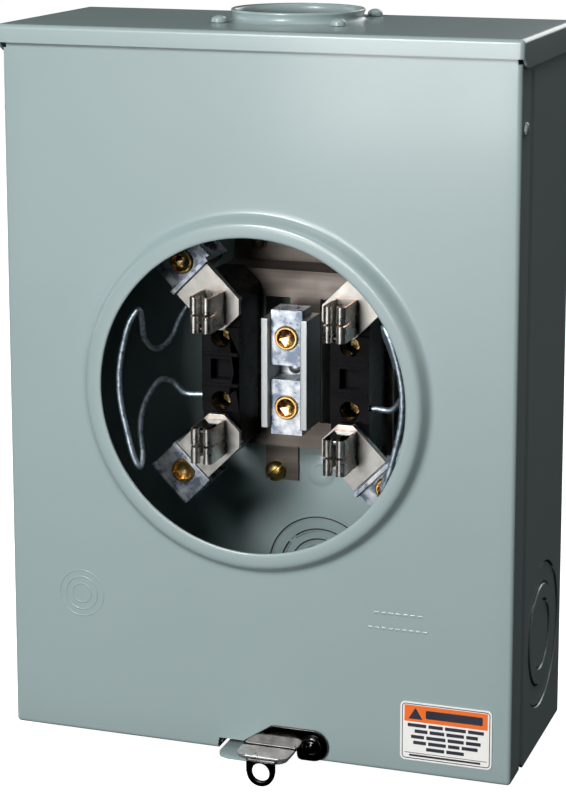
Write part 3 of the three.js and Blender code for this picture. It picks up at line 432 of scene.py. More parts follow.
def groove_shade_rings(radii, low, rise, *place):
    """Thin closed near-black rings in the grooves of concentric knockouts: painted shade that darkens the
    grooves. Their height is low, plus rise away from the ties. place is what placed() takes after a part."""
    angle = np.linspace(0, 2 * math.pi, 192, endpoint=False)[None, :]
    section = np.linspace(0, 2 * math.pi, 7)[:, None]
    rings = []
    for line, radius in enumerate(radii):
        groove = from_tie(angle, line, radii[0] / radius)
        reach = radius - 0.15 + 0.42 * np.cos(section)
        height = low + rise * groove + 0.16 * np.sin(section)
        ring = grid(np.stack([reach * np.cos(angle), reach * np.sin(angle), height], -1), wrap=True)
        rings.append(placed(ring, *place))
    return rings


for side, name in ((-1, "left"), (1, "right")):
    lines = groove_shade_rings(SIDE_RADII, -0.8, 0, (2, 0, 1), (side, 1, 1), (side * HALF_BOX, *SIDE_KNOCKOUT))
    piece("side_shear_lines_" + name, lines, [groove_shade], "root")
lines = groove_shade_rings(BACK_RADII, -1.3, -1.3, (0, 2, 1), (1, 1, 1), (BACK_KNOCKOUT[0], 0, BACK_KNOCKOUT[1]))
piece("back_shear_lines", lines, [groove_shade], "root")

# ---------- Bottom wall with the tongue ----------
# The same enamelled sheet, with a flange up inside the back, a joggled front edge and two knockouts.
# Its middle runs straight out under the cover as a tongue with rounded corners.

TONGUE_LEFT, TONGUE_RIGHT, TONGUE_FRONT = -17.5, 20.0, -125.5
HALF_FLOOR = 136.0
FLOOR_COLUMNS = [-HALF_FLOOR, TONGUE_LEFT, TONGUE_RIGHT, HALF_FLOOR]
BOTTOM_KNOCKOUT, BOTTOM_RADII = (58, -46), [30.6, 23.7, 16.5]
bottom_rings, bottom_gate = knockout(BOTTOM_RADII)
floor_parts = []
for left, right in zip(FLOOR_COLUMNS, FLOOR_COLUMNS[1:]):
    in_middle = left == TONGUE_LEFT
    feature = (None, (), None)
    if not in_middle:
        knockout_place = (math.copysign(BOTTOM_KNOCKOUT[0], left + right), BOTTOM_KNOCKOUT[1])
        feature = (knockout_place, bottom_rings, bottom_gate)
    floor_cell = cell((left, JOGGLE_START), (right, -5), ROW_STEPS, *feature)
    floor_parts.append(placed(floor_cell, (0, 1, 2), (1, 1, -1), (0, 0, BOTTOM)))
    across = np.linspace(left, right, ROW_STEPS + 1)
    turn_up = np.linspace(0, math.pi / 2, 6)[:, None]
    rear_y = np.concatenate([-5 + 3 * np.sin(turn_up), np.full((1, 1), -2.0)])
    rear_z = np.concatenate([BOTTOM + 3 - 3 * np.cos(turn_up), np.full((1, 1), BOTTOM + 12)])
    floor_parts.append(grid(np.stack([across + 0 * rear_y, rear_y + 0 * across, rear_z + 0 * across], -1)))
    if in_middle:
        reach = np.linspace(0, 1, 13)[:, None]
        front_y = JOGGLE_START + (TONGUE_FRONT - JOGGLE_START) * np.sqrt(reach)
        corner = np.clip((TONGUE_FRONT + 7 - front_y) / 7, 0, 1)
        pull = 7 * (1 - np.sqrt(np.clip(1 - corner ** 2, 0, 1)))
        middle = (TONGUE_LEFT + TONGUE_RIGHT) / 2
        half = (TONGUE_RIGHT - TONGUE_LEFT) / 2
        tongue_x = middle + (across - middle) / half * (half - pull)
        floor_parts.append(grid(np.stack([tongue_x, front_y + 0 * across, BOTTOM + 0 * tongue_x], -1)))
    else:
        outward = math.copysign(1, left + right)
        inner_edge = (TONGUE_RIGHT if outward > 0 else -TONGUE_LEFT) + 2
        step_y = JOGGLE_START - JOGGLE_DEPTHS + 0 * across
        step_z = BOTTOM + joggle(JOGGLE_DEPTHS) + 0 * across
        from_middle = np.maximum(np.abs(across), inner_edge * np.clip(JOGGLE_DEPTHS * 2, 0, 1))
        step_x = outward * np.minimum(from_middle, HALF_FLOOR - 2.0 * np.clip(JOGGLE_DEPTHS, 0, 1))
        floor_parts.append(grid(np.stack([step_x, step_y, step_z], -1)))
piece("bottom_sheet", floor_parts, [enamel], "root", ["bottom_wall"], INSIDE_BOX, wall=SHEET)
lines = []
for side in (-1, 1):
    ring_centre = (side * BOTTOM_KNOCKOUT[0], BOTTOM_KNOCKOUT[1], BOTTOM)
    lines += groove_shade_rings(BOTTOM_RADII, -0.8, 0, (0, 1, 2), (1, 1, -1), ring_centre)
piece("bottom_shear_lines", lines, [groove_shade], "root")

# ---------- Hood with the conduit hub's collar ----------
# A drawn sheet cap, enamelled and welded over the box. Its front lip is short and its side lips are
# deeper. The collar round the hub opening is drawn up from the same sheet and is fuller near its rim.

HALF_HOOD, HOOD_DEPTH, HOOD_BEND = 140.0, 118.0, 2.4
HUB_Y = -42.0
FRONT_LIP, SIDE_LIP = 9.5, 14.5
HOOD_STEPS = 32
collar = [
    (34.2, 6.0), (34.9, 6.0), (35.4, 5.6), (35.5, 5.0), (35.1, 4.3), (34.7, 3.2),
    (34.8, 2.0), (35.3, 1.0), (36.2, 0.35), (37.6, 0.05), (39, 0),
]
hood_front = -HOOD_DEPTH + HOOD_BEND
hood_columns = [-HALF_HOOD + HOOD_BEND, -50, 50, HALF_HOOD - HOOD_BEND]
hood_parts = []
for left, right in zip(hood_columns, hood_columns[1:]):
    feature = ((0, HUB_Y), collar) if left == hood_columns[1] else (None, ())
    hood_cell = cell((left, hood_front), (right, 0), HOOD_STEPS, *feature)
    hood_parts.append(placed(hood_cell, (0, 1, 2), (1, 1, 1), (0, 0, TOP)))


def rim(x, y, normal_x, normal_y, fall, bend, lip, steps=7):
    """A bent edge: from each point (x, y) the sheet turns through a quarter circle of radius bend
    about the edge, along the outward normal, and then runs on until it has fallen by lip."""
    angle = np.linspace(0, math.pi / 2, steps)[:, None]
    out, down = bend * np.sin(angle), bend * (1 - np.cos(angle))
    out = np.concatenate([out, out[-1:]])
    down = np.concatenate([down + 0 * x, (lip + 0 * x)[None, :]])
    return np.stack([x + normal_x * out, y + normal_y * out, fall * down], -1)


side_y = np.linspace(0, hood_front, HOOD_STEPS + 1)
front_x = stations(hood_columns, HOOD_STEPS)
fan = np.linspace(0, math.pi / 2, 7)[1:-1]
front_count = len(front_x) + 2 * len(fan)
on_side, on_front = np.ones(len(side_y)), np.ones(len(front_x))
edge_x = np.pad(front_x, len(side_y) + len(fan), mode="edge")
edge_y = np.concatenate([side_y, np.full(front_count, hood_front), side_y[::-1]])
edge_nx = np.concatenate([-on_side, -np.cos(fan), 0 * on_front, np.sin(fan), on_side])
edge_ny = np.concatenate([0 * on_side, -np.sin(fan), -on_front, -np.cos(fan), 0 * on_side])
side_lip = FRONT_LIP + (SIDE_LIP - FRONT_LIP) * np.clip((side_y - hood_front) / 6, 0, 1)
lip_depth = np.concatenate([side_lip, np.full(front_count, FRONT_LIP), side_lip[::-1]])
hood_rim = rim(edge_x, edge_y, edge_nx, edge_ny, -1, HOOD_BEND, lip_depth)
hood_rim[:, :, 2] += TOP
hood_parts.append(grid(hood_rim))
piece("hood_sheet", hood_parts, [enamel], "root", ["top_hood"], (0, -59, 150), wall=SHEET)

# ---------- Hub screws ----------
# Four round-head machine screws that would hold a conduit hub, painted over with the hood.


def turned(profile, place, axis="z", steps=32, shape=None):
    """A profile of (radius, height) turned about an axis through place. shape(row, angle), if given,
    multiplies the radius, which makes hexagons or knurls."""
    profile = np.array(profile, float)
    angle = np.linspace(0, 2 * math.pi, steps, endpoint=False)[None, :]
    radius = profile[:, :1] * (1 if shape is None else shape(np.arange(len(profile))[:, None], angle))
    a, b = radius * np.cos(angle), radius * np.sin(angle)
    h = profile[:, 1:] + 0 * a
    axes = {"z": (a, b, h), "y": (a, h, b), "x": (h, a, b)}[axis]
    points = np.stack(axes, -1) + np.array(place)
    return grid(points, wrap=True)


def domed(radius, height, foot=0.0, steps=9):
    """Profile of a round head: a short upright foot and then an elliptic dome to the axis."""
    bend = np.linspace(0, math.pi / 2, steps)
    dome = [(radius * math.cos(a), foot + (height - foot) * math.sin(a)) for a in bend]
    return [(radius, 0), *dome[:-1], (0, height)]


HUB_SCREW_REACH = 32.5
head = [(0, -11), (2.4, -11), (2.4, 0), *domed(4.0, 3.7, 1.2)]
for index, name in enumerate(("front_left", "front_right", "rear_left", "rear_right")):
    screw_x = HUB_SCREW_REACH if index % 2 else -HUB_SCREW_REACH
    screw_y = HUB_Y + (HUB_SCREW_REACH if index > 1 else -HUB_SCREW_REACH)
    parts = [turned(head, (screw_x, screw_y, TOP + 0.3))]
    piece("hub_screw_head_" + name, parts, [enamel], "root", ["hub_screw_" + name])

# ---------- Cover ----------
# A pressed sheet cover with flanges down both sides and along the bottom, enamelled like the box.
# The ring round the meter opening is raised in the press, and its inner edge is turned back.

METER_Z = 3.5
COVER_FRONT = -113.4
COVER_BEND = 2.3
ring_profile = [
    (82.75, 5.0), (82.6, 5.4), (82.65, 5.9), (82.9, 6.2), (83.4, 6.35), (84.5, 6.4), (86.2, 6.4),
    (87.6, 6.38), (88.7, 6.3), (89.6, 6.1), (90.3, 5.75), (90.9, 5.15), (91.4, 4.4), (92.0, 3.4), (92.6, 2.4),
    (93.2, 1.5), (93.8, 0.8), (94.5, 0.35), (95.4, 0.1), (96.4, 0.02), (97.6, 0), (100, 0),
]
face_x, face_low, face_high = HALF_BOX - COVER_BEND, BOTTOM + COVER_BEND, 187.5
NOTCH_LEFT, NOTCH_RIGHT, NOTCH_TOP = -20.0, 24.0, -184.4
COVER_FLANGE, COVER_FLANGE_TOP = 19.0, 178
flange_z = np.linspace(face_low, COVER_FLANGE_TOP, 70)
up_z = np.concatenate([flange_z, np.linspace(COVER_FLANGE_TOP, face_high, 4)[1:]])
top_x = np.linspace(face_x, -face_x, 60)
low_left = np.linspace(-face_x, NOTCH_LEFT - 0.6, 26)
notch_x = np.linspace(NOTCH_LEFT, NOTCH_RIGHT, 12)
low_right = np.linspace(NOTCH_RIGHT + 0.7, face_x, 26)
cover_edge = [
    (low_left, face_low), (notch_x, NOTCH_TOP), (low_right[:-1], face_low),
    (face_x, up_z), (top_x[1:-1], face_high), (-face_x, up_z[:0:-1]),
]
cover_runs = [np.stack(np.broadcast_arrays(u, v)) for u, v in cover_edge]
cover_u, cover_v = np.concatenate(cover_runs, 1)
cover_face = round_in_edge(cover_u, cover_v, (0, METER_Z), ring_profile, blend=10)
cover_parts = [placed(cover_face, (0, 2, 1), (1, -1, 1), (0, COVER_FRONT, 0))]
for side, low_edge in ((-1, low_left[::-1]), (1, low_right)):
    low, up = np.ones(len(low_edge)), np.ones(len(flange_z))
    rim_x = np.concatenate([low_edge, np.full(len(fan) + len(flange_z), side * face_x)])
    rim_z = np.concatenate([np.full(len(low_edge) + len(fan), face_low), flange_z])
    rim_nx = np.concatenate([0 * low, side * np.sin(fan), side * up])
    rim_nz = np.concatenate([-low, -np.cos(fan), 0 * up])
    flange = rim(rim_x, rim_z, rim_nx, rim_nz, 1, COVER_BEND, COVER_FLANGE)
    flange = flange[:, :, [0, 2, 1]]
    flange[:, :, 1] += COVER_FRONT
    cover_parts.append(grid(flange))
piece("cover_sheet", cover_parts, [enamel], "cover", ["cover"], (0, -10, 0), wall=SHEET)

button_head = turned([(0, -1.4), (1.6, -1.4), (1.6, 0), *domed(3.4, 1.9, 0.4)], (0, 0, 0))
for side, name in ((-1, "left"), (1, "right")):
    button = placed(button_head, (2, 1, 0), (side, 1, 1), (side * (HALF_BOX + 0.3), -106, 146))
    piece("cover_button_" + name, [button], [enamel], "cover", ["cover_rivet_" + name])

# ---------- Label ----------
# A printed film sticker with rounded corners. It has a thin dark border, an orange band with a plain
# triangle along its top, rows of plain grey bars, and a thin line above its bottom edge.

LABEL_LEFT, LABEL_RIGHT, LABEL_LOW, LABEL_HIGH = 79.8, 128.2, -182.6, -151.0
film = Finish("label_film", (0.88, 0.87, 0.84), 0.42)
ink = Finish("label_dark_ink", (0.018, 0.02, 0.035), 0.5)
orange_ink = Finish("label_orange_ink", (0.85, 0.16, 0.02), 0.42)
for printed in (film, ink, orange_ink):
    printed.bump(printed.noise(600, 2), 0.00003, 0.3)
    printed.vary(printed.noise(90, 3), 0.36, 0.5)


def rounded_outline(left, right, low, high, radius, steps=8):
    """Corner arcs of one radius, joined by straight sides, counter-clockwise from the right."""
    bend = np.linspace(0, math.pi / 2, steps)
    centres = ((right, high, 0), (left, high, 1), (left, low, 2), (right, low, 3))
    arcs = []
    for u, v, quarter in centres:
        angle = bend + quarter * math.pi / 2
        centre_u = u - radius if u == right else u + radius
        centre_v = v - radius if v == high else v + radius
        arcs.append(np.stack([centre_u + radius * np.cos(angle), centre_v + radius * np.sin(angle)], -1))
    return np.concatenate(arcs)


def plate(outline, front, back):
    """A flat outline in x and z carried from y = front to y = back, closed at both faces."""
    count = len(outline)
    x, z = outline[:, 0], outline[:, 1]
    rows = [np.stack([x, np.full(count, y), z], -1) for y in (front, back)]
    sides = quads(2, count, wrap=True).tolist()
    return np.concatenate(rows), [*sides, list(range(count)), list(range(count, 2 * count))[::-1]]


def label_outline(inset, radius):
    """The label's outline, moved in by inset, with corners of that radius."""
    sides = (LABEL_LEFT + inset, LABEL_RIGHT - inset, LABEL_LOW + inset, LABEL_HIGH - inset)
    return rounded_outline(*sides, radius)


label_back = COVER_FRONT - 0.3
label_front = label_back - 0.3
label_width, label_height = LABEL_RIGHT - LABEL_LEFT, LABEL_HIGH - LABEL_LOW


def printed_patch(name, finish, boxes, lift, radius=0.25):
    """Thin printed areas in shares of the label's width and height: (left, low, right, high)."""
    areas = []
    for left, low, right, high in boxes:
        outline = rounded_outline(
            LABEL_LEFT + left * label_width, LABEL_LEFT + right * label_width,
            LABEL_LOW + low * label_height, LABEL_LOW + high * label_height, radius, 3)
        areas.append(plate(outline, label_front - lift, label_back - 0.27))
    return piece(name, areas, [finish], "cover")


label_sheet = plate(label_outline(0, 2.6), label_front, label_back)
piece("label_sheet", [label_sheet], [film], "cover", ["label"])
outer, inner = label_outline(0.9, 1.9), label_outline(1.35, 1.5)
border_section = [(outer, 0.28), (outer, 0.33), (inner, 0.33), (inner, 0.28), (outer, 0.28)]
border_rows = []
for line, proud in border_section:
    border_rows.append(np.stack([line[:, 0], np.full(len(line), label_back - proud), line[:, 1]], -1))
piece("label_border", [grid(np.stack(border_rows), wrap=True)], [ink], "cover")
printed_patch("label_band", orange_ink, [(0.045, 0.665, 0.955, 0.945)], 0.03)
triangle = np.array([[0.09, 0.71], [0.245, 0.71], [0.1675, 0.905]]) * (label_width, label_height)
triangle += (LABEL_LEFT, LABEL_LOW)
piece("label_triangle", [plate(triangle, label_back - 0.37, label_back - 0.31)], [ink], "cover")
printed_patch("label_heading", ink, [(0.28, 0.735, 0.90, 0.875)], 0.07, 0.6)
bars = []
for row, (start, stop) in enumerate(((0.07, 0.93), (0.13, 0.88), (0.09, 0.91), (0.13, 0.86), (0.29, 0.70))):
    level = 0.575 - row * 0.098
    count = 3 if row == 4 else 5
    edges = np.linspace(start, stop, count) + 0.02 * np.sin(np.arange(count) * 2.4 + row)
    bars += [(a + 0.012, level, b - 0.012, level + 0.058) for a, b in zip(edges, edges[1:])]
printed_patch("label_bars", ink, bars, 0.03, 0.2)
printed_patch("label_foot", ink, [(0.05, 0.125, 0.95, 0.135), (0.1, 0.07, 0.88, 0.105)], 0.03, 0.1)

# ---------- Pressed marks on the cover ----------
# Two shallow plain marks are pressed into the cover: a round ring at the lower left, and two rows of
# short dashes at the lower right. They are thin raised beads under the same enamel.


def bead_line(route, width, height, level):
    """A low rounded bead along a route of (x, z) points on the face y = level. Its section is half an
    ellipse, width across and height proud."""
    route = np.array(route, float)
    along = np.gradient(route, axis=0)
    along /= np.linalg.norm(along, axis=1)[:, None]
    across = np.stack([-along[:, 1], along[:, 0]], -1)
    angle = np.linspace(0, math.pi, 7)[:, None]
    x = route[:, 0] + across[:, 0] * np.cos(angle) * width / 2
    z = route[:, 1] + across[:, 1] * np.cos(angle) * width / 2
    return grid(np.stack([x, level - height * np.sin(angle) + 0 * x, z], -1))


MARK_X, MARK_Z = -98, -113
DASH_HIGH, DASH_STEP = -105.5, 8.2
circle = np.linspace(0, 2 * math.pi, 73)
mark_parts = []
for radius in (5.2, 9.0, 12.6):
    ring_route = np.stack([MARK_X + radius * np.cos(circle), MARK_Z + radius * np.sin(circle)], -1)
    mark_parts.append(bead_line(ring_route, 0.9, 0.22, COVER_FRONT + 0.02))
for row, (left, right, dashes) in enumerate(((64.5, 91.5, 7), (61.5, 94, 9))):
    marks = np.linspace(left, right, dashes + 1)
    for a, b in zip(marks, marks[1:]):
        dash_x = np.linspace(a + 0.7, b - 0.7, 9)
        dash_route = np.stack([dash_x, np.full(9, DASH_HIGH - row * DASH_STEP)], -1)
        mark_parts.append(bead_line(dash_route, 1.5, 0.2, COVER_FRONT + 0.02))
piece("cover_marks", mark_parts, [enamel], "cover", (), (0, 0, 0))

# ---------- Latch ----------
# A black plated steel arm that turns on a shouldered rivet in the cover. Its lower edge is bent forward
# into a flange that passes over the hasp. The flange is a piece of its own, in a paler plating that is a
# painted highlight for light falling on its top.

LATCH_X, LATCH_Z, LATCH_FRONT = 32.5, -181.6, -115.6
FLANGE_TOP = -184.7
plating = Finish("black_plating", (0.035, 0.034, 0.033), 0.13, 1.0)
plating.tint(plating.noise(160, 3), (0.3, (0.022, 0.022, 0.023)), (0.7, (0.06, 0.058, 0.056)))
plating.vary(plating.noise(220, 3), 0.08, 0.18)
plating.bump(plating.noise(260, 2), 0.00006, 0.3)
plating.set("Coat Weight", 0.3)
plating.set("Coat Roughness", 0.06)
# The flange's pale plating is a painted highlight: the same black plating, lightened where its upward face
# catches light from above.
highlight_plating = Finish("painted_highlight_plating", (0.5, 0.5, 0.48), 0.3, 0.8)
highlight_plating.tint(highlight_plating.noise(140, 3), (0.3, (0.4, 0.4, 0.38)), (0.7, (0.62, 0.62, 0.6)))
highlight_plating.vary(highlight_plating.noise(220, 3), 0.24, 0.4)
LATCH_SHEET, LATCH_EDGE = 1.5, 0.35
bend_x = np.linspace(-5.5, 23.6, 15)
inner_bend = 1.2
round_end = np.linspace(-0.5 * math.pi, 0.5 * math.pi, 25)
arm_right = np.stack([LATCH_X + 8.4 * np.cos(round_end), LATCH_Z + 8.4 * np.sin(round_end)], -1)
arm_outline = np.concatenate([
    np.stack([bend_x, np.full(len(bend_x), FLANGE_TOP + inner_bend)], -1),
    [[24.0, -186.2], [24.2, -188.0], [24.9, -189.4], [26.6, -190.0]],
    arm_right,
    [[11.5, -173.2], [9.6, -173.5], [8.4, -174.3]],
])
arm_points = np.stack([arm_outline[:, 0], np.full(len(arm_outline), LATCH_FRONT), arm_outline[:, 1]], -1)
flange_corner = np.linspace(0, math.pi / 2, 9)
flange_front = -130.5
flange_outline = np.concatenate([
    np.stack([bend_x[::-1], np.full(len(bend_x), LATCH_FRONT - inner_bend)], -1),
    np.stack([0.5 - 6 * np.cos(flange_corner), flange_front + 6 - 6 * np.sin(flange_corner)], -1),
    np.stack([17.6 + 6 * np.sin(flange_corner), flange_front + 6 - 6 * np.cos(flange_corner)], -1),
])
flange_points = np.column_stack([flange_outline, np.full(len(flange_outline), FLANGE_TOP)])
bend_angle = np.linspace(0, math.pi / 2, 6)[:, None]
bend_y = LATCH_FRONT - inner_bend * (1 - np.cos(bend_angle)) + 0 * bend_x
bend_z = FLANGE_TOP + inner_bend * (1 - np.sin(bend_angle)) + 0 * bend_x
latch_parts = [
    (arm_points, [list(range(len(arm_points)))]),
    grid(np.stack([bend_x + 0 * bend_angle, bend_y, bend_z], -1)),
]
flange_part = (flange_points, [list(range(len(flange_points)))])
piece("latch_flange", [flange_part], [highlight_plating], "latch",
      (), (10, -120, -215), wall=LATCH_SHEET, edge=LATCH_EDGE)
piece("latch_arm", latch_parts, [plating], "latch",
      ["latch"], (10, -90, -215), wall=LATCH_SHEET, edge=LATCH_EDGE)
rivet_profile = [
    (0, 1.0), (1.5, 1.0), (2.1, 0.75), (2.5, 0.25), (3.0, 0.1), (3.7, 0.1), (4.3, 0.25), (5.0, 0.0),
    (5.35, -0.5), (5.4, -1.3), (5.3, -1.6), (3.0, -1.6), (3.0, -4.6), (4.6, -4.6), (4.6, -6.0), (0, -6.2),
]
rivet_place = (LATCH_X, LATCH_FRONT - 1.9, LATCH_Z)
rivet_part = placed(turned(rivet_profile, (0, 0, 0), "y", 40), (0, 1, 2), (1, -1, 1), rivet_place)
piece("latch_rivet_turned", [rivet_part], [plating], "cover", ["latch_rivet"])

# ---------- Seal hasp ----------
# A black plated stamping riveted to the tongue: a flat leg under the latch and a ring that is turned
# down in front, through which a meter seal passes when the latch is closed.

HASP_X, HASP_TOP, HASP_FRONT, RING_Z = 8.2, -186.6, -128.0, -194.6
HASP_HALF, RING_OUTER, RING_HOLE = 7.8, 7.55, 5.0
hasp_bend = 2.2
leg_x = np.linspace(0.4, 16, 13)
leg_y = np.linspace(-92, HASP_FRONT + hasp_bend, 9)[:, None]
around = np.linspace(0, 2 * math.pi, 64, endpoint=False) + math.pi / 2
ring_top = HASP_TOP - hasp_bend
cosine, sine = np.cos(around), np.sin(around)
to_side = HASP_HALF / np.maximum(np.abs(cosine), 1e-3)
to_bend = (ring_top - RING_Z) / np.clip(sine, 1e-3, None)
to_round = RING_OUTER + 0.25 * np.clip(sine * 10 + 1, 0, 1)
outer_radius = np.where(sine > 0.05, np.minimum(to_side, to_bend), to_round)
share = np.linspace(0, 1, 4)[:, None]
ring_radius = RING_HOLE + (outer_radius - RING_HOLE) * share
ring_x, ring_z = HASP_X + ring_radius * cosine, RING_Z + ring_radius * sine
ring_points = np.stack([ring_x, HASP_FRONT + 0 * ring_x, ring_z], -1)
hasp_angle = np.linspace(0, math.pi / 2, 7)[:, None]
hasp_y = HASP_FRONT + hasp_bend - hasp_bend * np.sin(hasp_angle) + 0 * leg_x
hasp_z = HASP_TOP - hasp_bend + hasp_bend * np.cos(hasp_angle) + 0 * leg_x
hasp_parts = [
    grid(np.stack([leg_x + 0 * leg_y, leg_y + 0 * leg_x, HASP_TOP + 0 * leg_y + 0 * leg_x], -1)),
    grid(np.stack([leg_x + 0 * hasp_angle, hasp_y, hasp_z], -1)),
    grid(ring_points, wrap=True),
]
piece("seal_hasp_stamping", hasp_parts, [plating], "root",
      ["seal_hasp"], (8, -100, -205), wall=1.9, edge=0.3)
over, under = HASP_TOP + 0.3, BOTTOM - 0.3
hasp_rivet = [
    (0, under - 1.2), (2.6, under - 1.1), (3.4, under - 0.5), (3.4, under), (2, under),
    (2, over), (3.6, over), (3.5, over + 0.5), (2.6, over + 1.1), (0, over + 1.3),
]
for name, rivet_y in (("rear", -98.0), ("front", -109.0)):
    rivet = turned(hasp_rivet, (HASP_X, rivet_y, 0), "z", 24)
    piece("hasp_rivet_turned_" + name, [rivet], [plating], "root", ["hasp_rivet_" + name])

# ---------- Mounting bracket inside ----------
# Bare rolled steel, bent to a hat section with two windows. It is screwed to the back at its top foot
# and bonded to it through the tab below.

steel = Finish("bracket_steel", (0.16, 0.14, 0.12), 0.4, 1.0)
rolled = steel.noise(70, 6, steel.stretched((0.06, 1, 1)), 0.65)
steel.tint(rolled, (0.25, (0.085, 0.07, 0.06)), (0.5, (0.16, 0.137, 0.12)), (0.75, (0.26, 0.225, 0.2)))
steel.vary(steel.noise(40, 4), 0.32, 0.52)
steel.bump(steel.noise(900, 3, steel.stretched((0.05, 1, 1))), 0.00004, 0.35)


def eased(node_name, finish, edge, body="root", crease=30):
    """A copy of a node's solid with its doubled points merged, its flat faces joined, and its sharp
    edges bevelled by edge millimetres."""
    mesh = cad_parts[node_name].data.copy()
    mesh.name = node_name + "_eased"
    mesh.materials.clear()
    mesh.materials.append(finish.material)
    shell = bmesh.new()
    shell.from_mesh(mesh)
    for face in shell.faces:
        face.material_index = 0
    bmesh.ops.remove_doubles(shell, verts=shell.verts, dist=2e-6)
    bmesh.ops.dissolve_limit(shell, angle_limit=0.01, verts=shell.verts, edges=shell.edges)
    shell.to_mesh(mesh)
    shell.free()
    made = bpy.data.objects.new(node_name + "_eased", mesh)
    bpy.context.scene.collection.objects.link(made)
    return dress(made, body, [node_name], 0, edge, crease)


eased("mounting_bracket", steel, 0.4)
eased("neutral_spacer", steel, 0.3)

gold = Finish("yellow_zinc", (0.72, 0.5, 0.2), 0.18, 1.0)
zinc_stops = (0.3, (0.86, 0.64, 0.26)), (0.5, (0.8, 0.53, 0.18)), (0.68, (0.85, 0.36, 0.22))
gold.tint(gold.noise(130, 2), *zinc_stops)
gold.vary(gold.noise(400, 3), 0.12, 0.28)
gold.bump(gold.noise(700, 2), 0.00005, 0.3)
# The bracket screws' yellow zinc is made nearly black: painted shade for the shadow at the top of the box
# where they sit.
shaded_zinc = Finish("painted_shade_yellow_zinc", (0.1, 0.075, 0.045), 0.5, 1.0)
shaded_zinc.vary(shaded_zinc.noise(300, 3), 0.42, 0.6)
shaded_zinc.bump(shaded_zinc.noise(700, 2), 0.00005, 0.3)
brass = Finish("brass", (0.5, 0.34, 0.11), 0.25, 1.0)
brass.tint(brass.noise(200, 3), (0.3, (0.88, 0.64, 0.24)), (0.7, (0.62, 0.42, 0.14)))
brass.vary(brass.noise(300, 3), 0.26, 0.42)
brass.bump(brass.noise(800, 2), 0.00005, 0.35)


def slotted_head(radius, height, foot, slot_width, slot_depth, slot_turn, place):
    """Heights over a disc: an elliptic dome, less a trough with steep walls along one diameter, closed
    below by a flat underside. It faces -Y at place."""
    spread = np.sin(np.linspace(0, math.pi / 2, 26))[:, None]
    angle = np.linspace(0, 2 * math.pi, 96, endpoint=False)[None, :]
    u, v = radius * spread * np.cos(angle), radius * spread * np.sin(angle)
    dome = foot + (height - foot) * np.sqrt(np.clip(1 - (spread * 0.96) ** 2, 0, 1)) + 0 * angle
    off = np.abs(-u * math.sin(slot_turn) + v * math.cos(slot_turn)) - slot_width / 2
    cut = slot_depth * np.clip(0.5 - off / 0.3, 0, 1)
    high = np.maximum(dome - cut, 0.3)
    top = np.stack([u, -high, v], -1)
    base = np.stack([u[-1:], 0 * u[-1:], v[-1:]], -1)
    centre = np.zeros((1, 96, 3))
    return grid(np.concatenate([top, base, centre]) + np.array(place), wrap=True)


FOOT_SEAT = -1.6 - 0.3 - 2.0 - 0.3
FOOT_X, FOOT_Z = 36, 63
BOND_X, BOND_Z = -26, -68
shank = turned([(0, -0.3), (2, -0.3), (2, FOOT_SEAT), (0, FOOT_SEAT)], (-FOOT_X, 0, FOOT_Z), "y", 16)
washer_profile = [(0, FOOT_SEAT), (5, FOOT_SEAT), (5, FOOT_SEAT - 1), (0, FOOT_SEAT - 1)]
washer = turned(washer_profile, (-FOOT_X, 0, FOOT_Z), "y")
for name, screw_x in (("left", -FOOT_X), ("right", FOOT_X)):
    offset = (screw_x + FOOT_X, 0, 0)
    parts = [placed(shank, (0, 1, 2), (1, 1, 1), offset), placed(washer, (0, 1, 2), (1, 1, 1), offset)]
    parts.append(slotted_head(3.8, 3.2, 1.2, 1.2, 1.6, 0.5, (screw_x, FOOT_SEAT - 1.05, FOOT_Z)))
    piece("bracket_screw_head_" + name, parts, [shaded_zinc], "root", ["bracket_screw_" + name])
bonding_parts = [placed(shank, (0, 1, 2), (1, 1, 1), (BOND_X + FOOT_X, 0, BOND_Z - FOOT_Z))]
bonding_parts.append(slotted_head(5.6, 4.6, 1.6, 1.3, 2.4, 0.75, (BOND_X, FOOT_SEAT, BOND_Z)))
piece("bonding_screw_head", bonding_parts, [brass], "root", ["bonding_screw"])

# ---------- Insulating blocks ----------
# Black moulded phenolic blocks, one on each side, screwed to the bracket. Each has deep screw holes,
# a square pocket in its middle and a rib above and below it.

black = Finish("black_phenolic", (0.004, 0.004, 0.005), 0.25, 0.0, 0.06)
black.tint(black.noise(90, 4), (0.3, (0.003, 0.003, 0.004)), (0.7, (0.007, 0.007, 0.008)))
black.vary(black.noise(120, 3), 0.2, 0.3)
black.bump(black.noise(500, 3), 0.00008, 0.35)
for name in ("left", "right"):
    eased("insulating_block_" + name, black, 0.45)
    for level in ("lower", "upper"):
        eased(f"block_screw_{level}_{name}", gold, 0.3)

# ---------- Contacts: plates, lugs, set screws and fixing screws ----------
# Each is a tin-plated copper plate on the block, with an extruded aluminium lug at its outer end. The
# lug's set screw has a hexagon socket and clamps the line or load wire.

tin = Finish("tin_plate", (0.66, 0.645, 0.6), 0.36, 1.0)
tin.tint(tin.noise(110, 5), (0.3, (0.40, 0.385, 0.35)), (0.7, (0.55, 0.54, 0.51)))
tin.vary(tin.noise(260, 4), 0.3, 0.48)
tin.bump(tin.noise(650, 3), 0.00006, 0.4)


def lug_metal(name, scale, turn):
    """Extruded aluminium with fine lines along the wire and a mottled bright plating."""
    metal = Finish(name, (0.6, 0.63, 0.68), 0.3, 0.72)
    lines = metal.noise(900, 3, metal.stretched(scale, turn))
    mottle = metal.noise(170, 4)
    metal.tint(mottle, (0.36, (0.2, 0.25, 0.33)), (0.5, (0.5, 0.55, 0.62)), (0.66, (0.84, 0.86, 0.88)))
    metal.vary(mottle, 0.24, 0.34)
    metal.bump(lines, 0.00008, 0.45)
    return metal


rising = lug_metal("lug_aluminium_rising", (1, 1, 0.04), (0, math.pi / 4, 0))
falling = lug_metal("lug_aluminium_falling", (1, 1, 0.04), (0, -math.pi / 4, 0))
upright = lug_metal("lug_aluminium_upright", (1, 1, 0.04), (0, 0, 0))


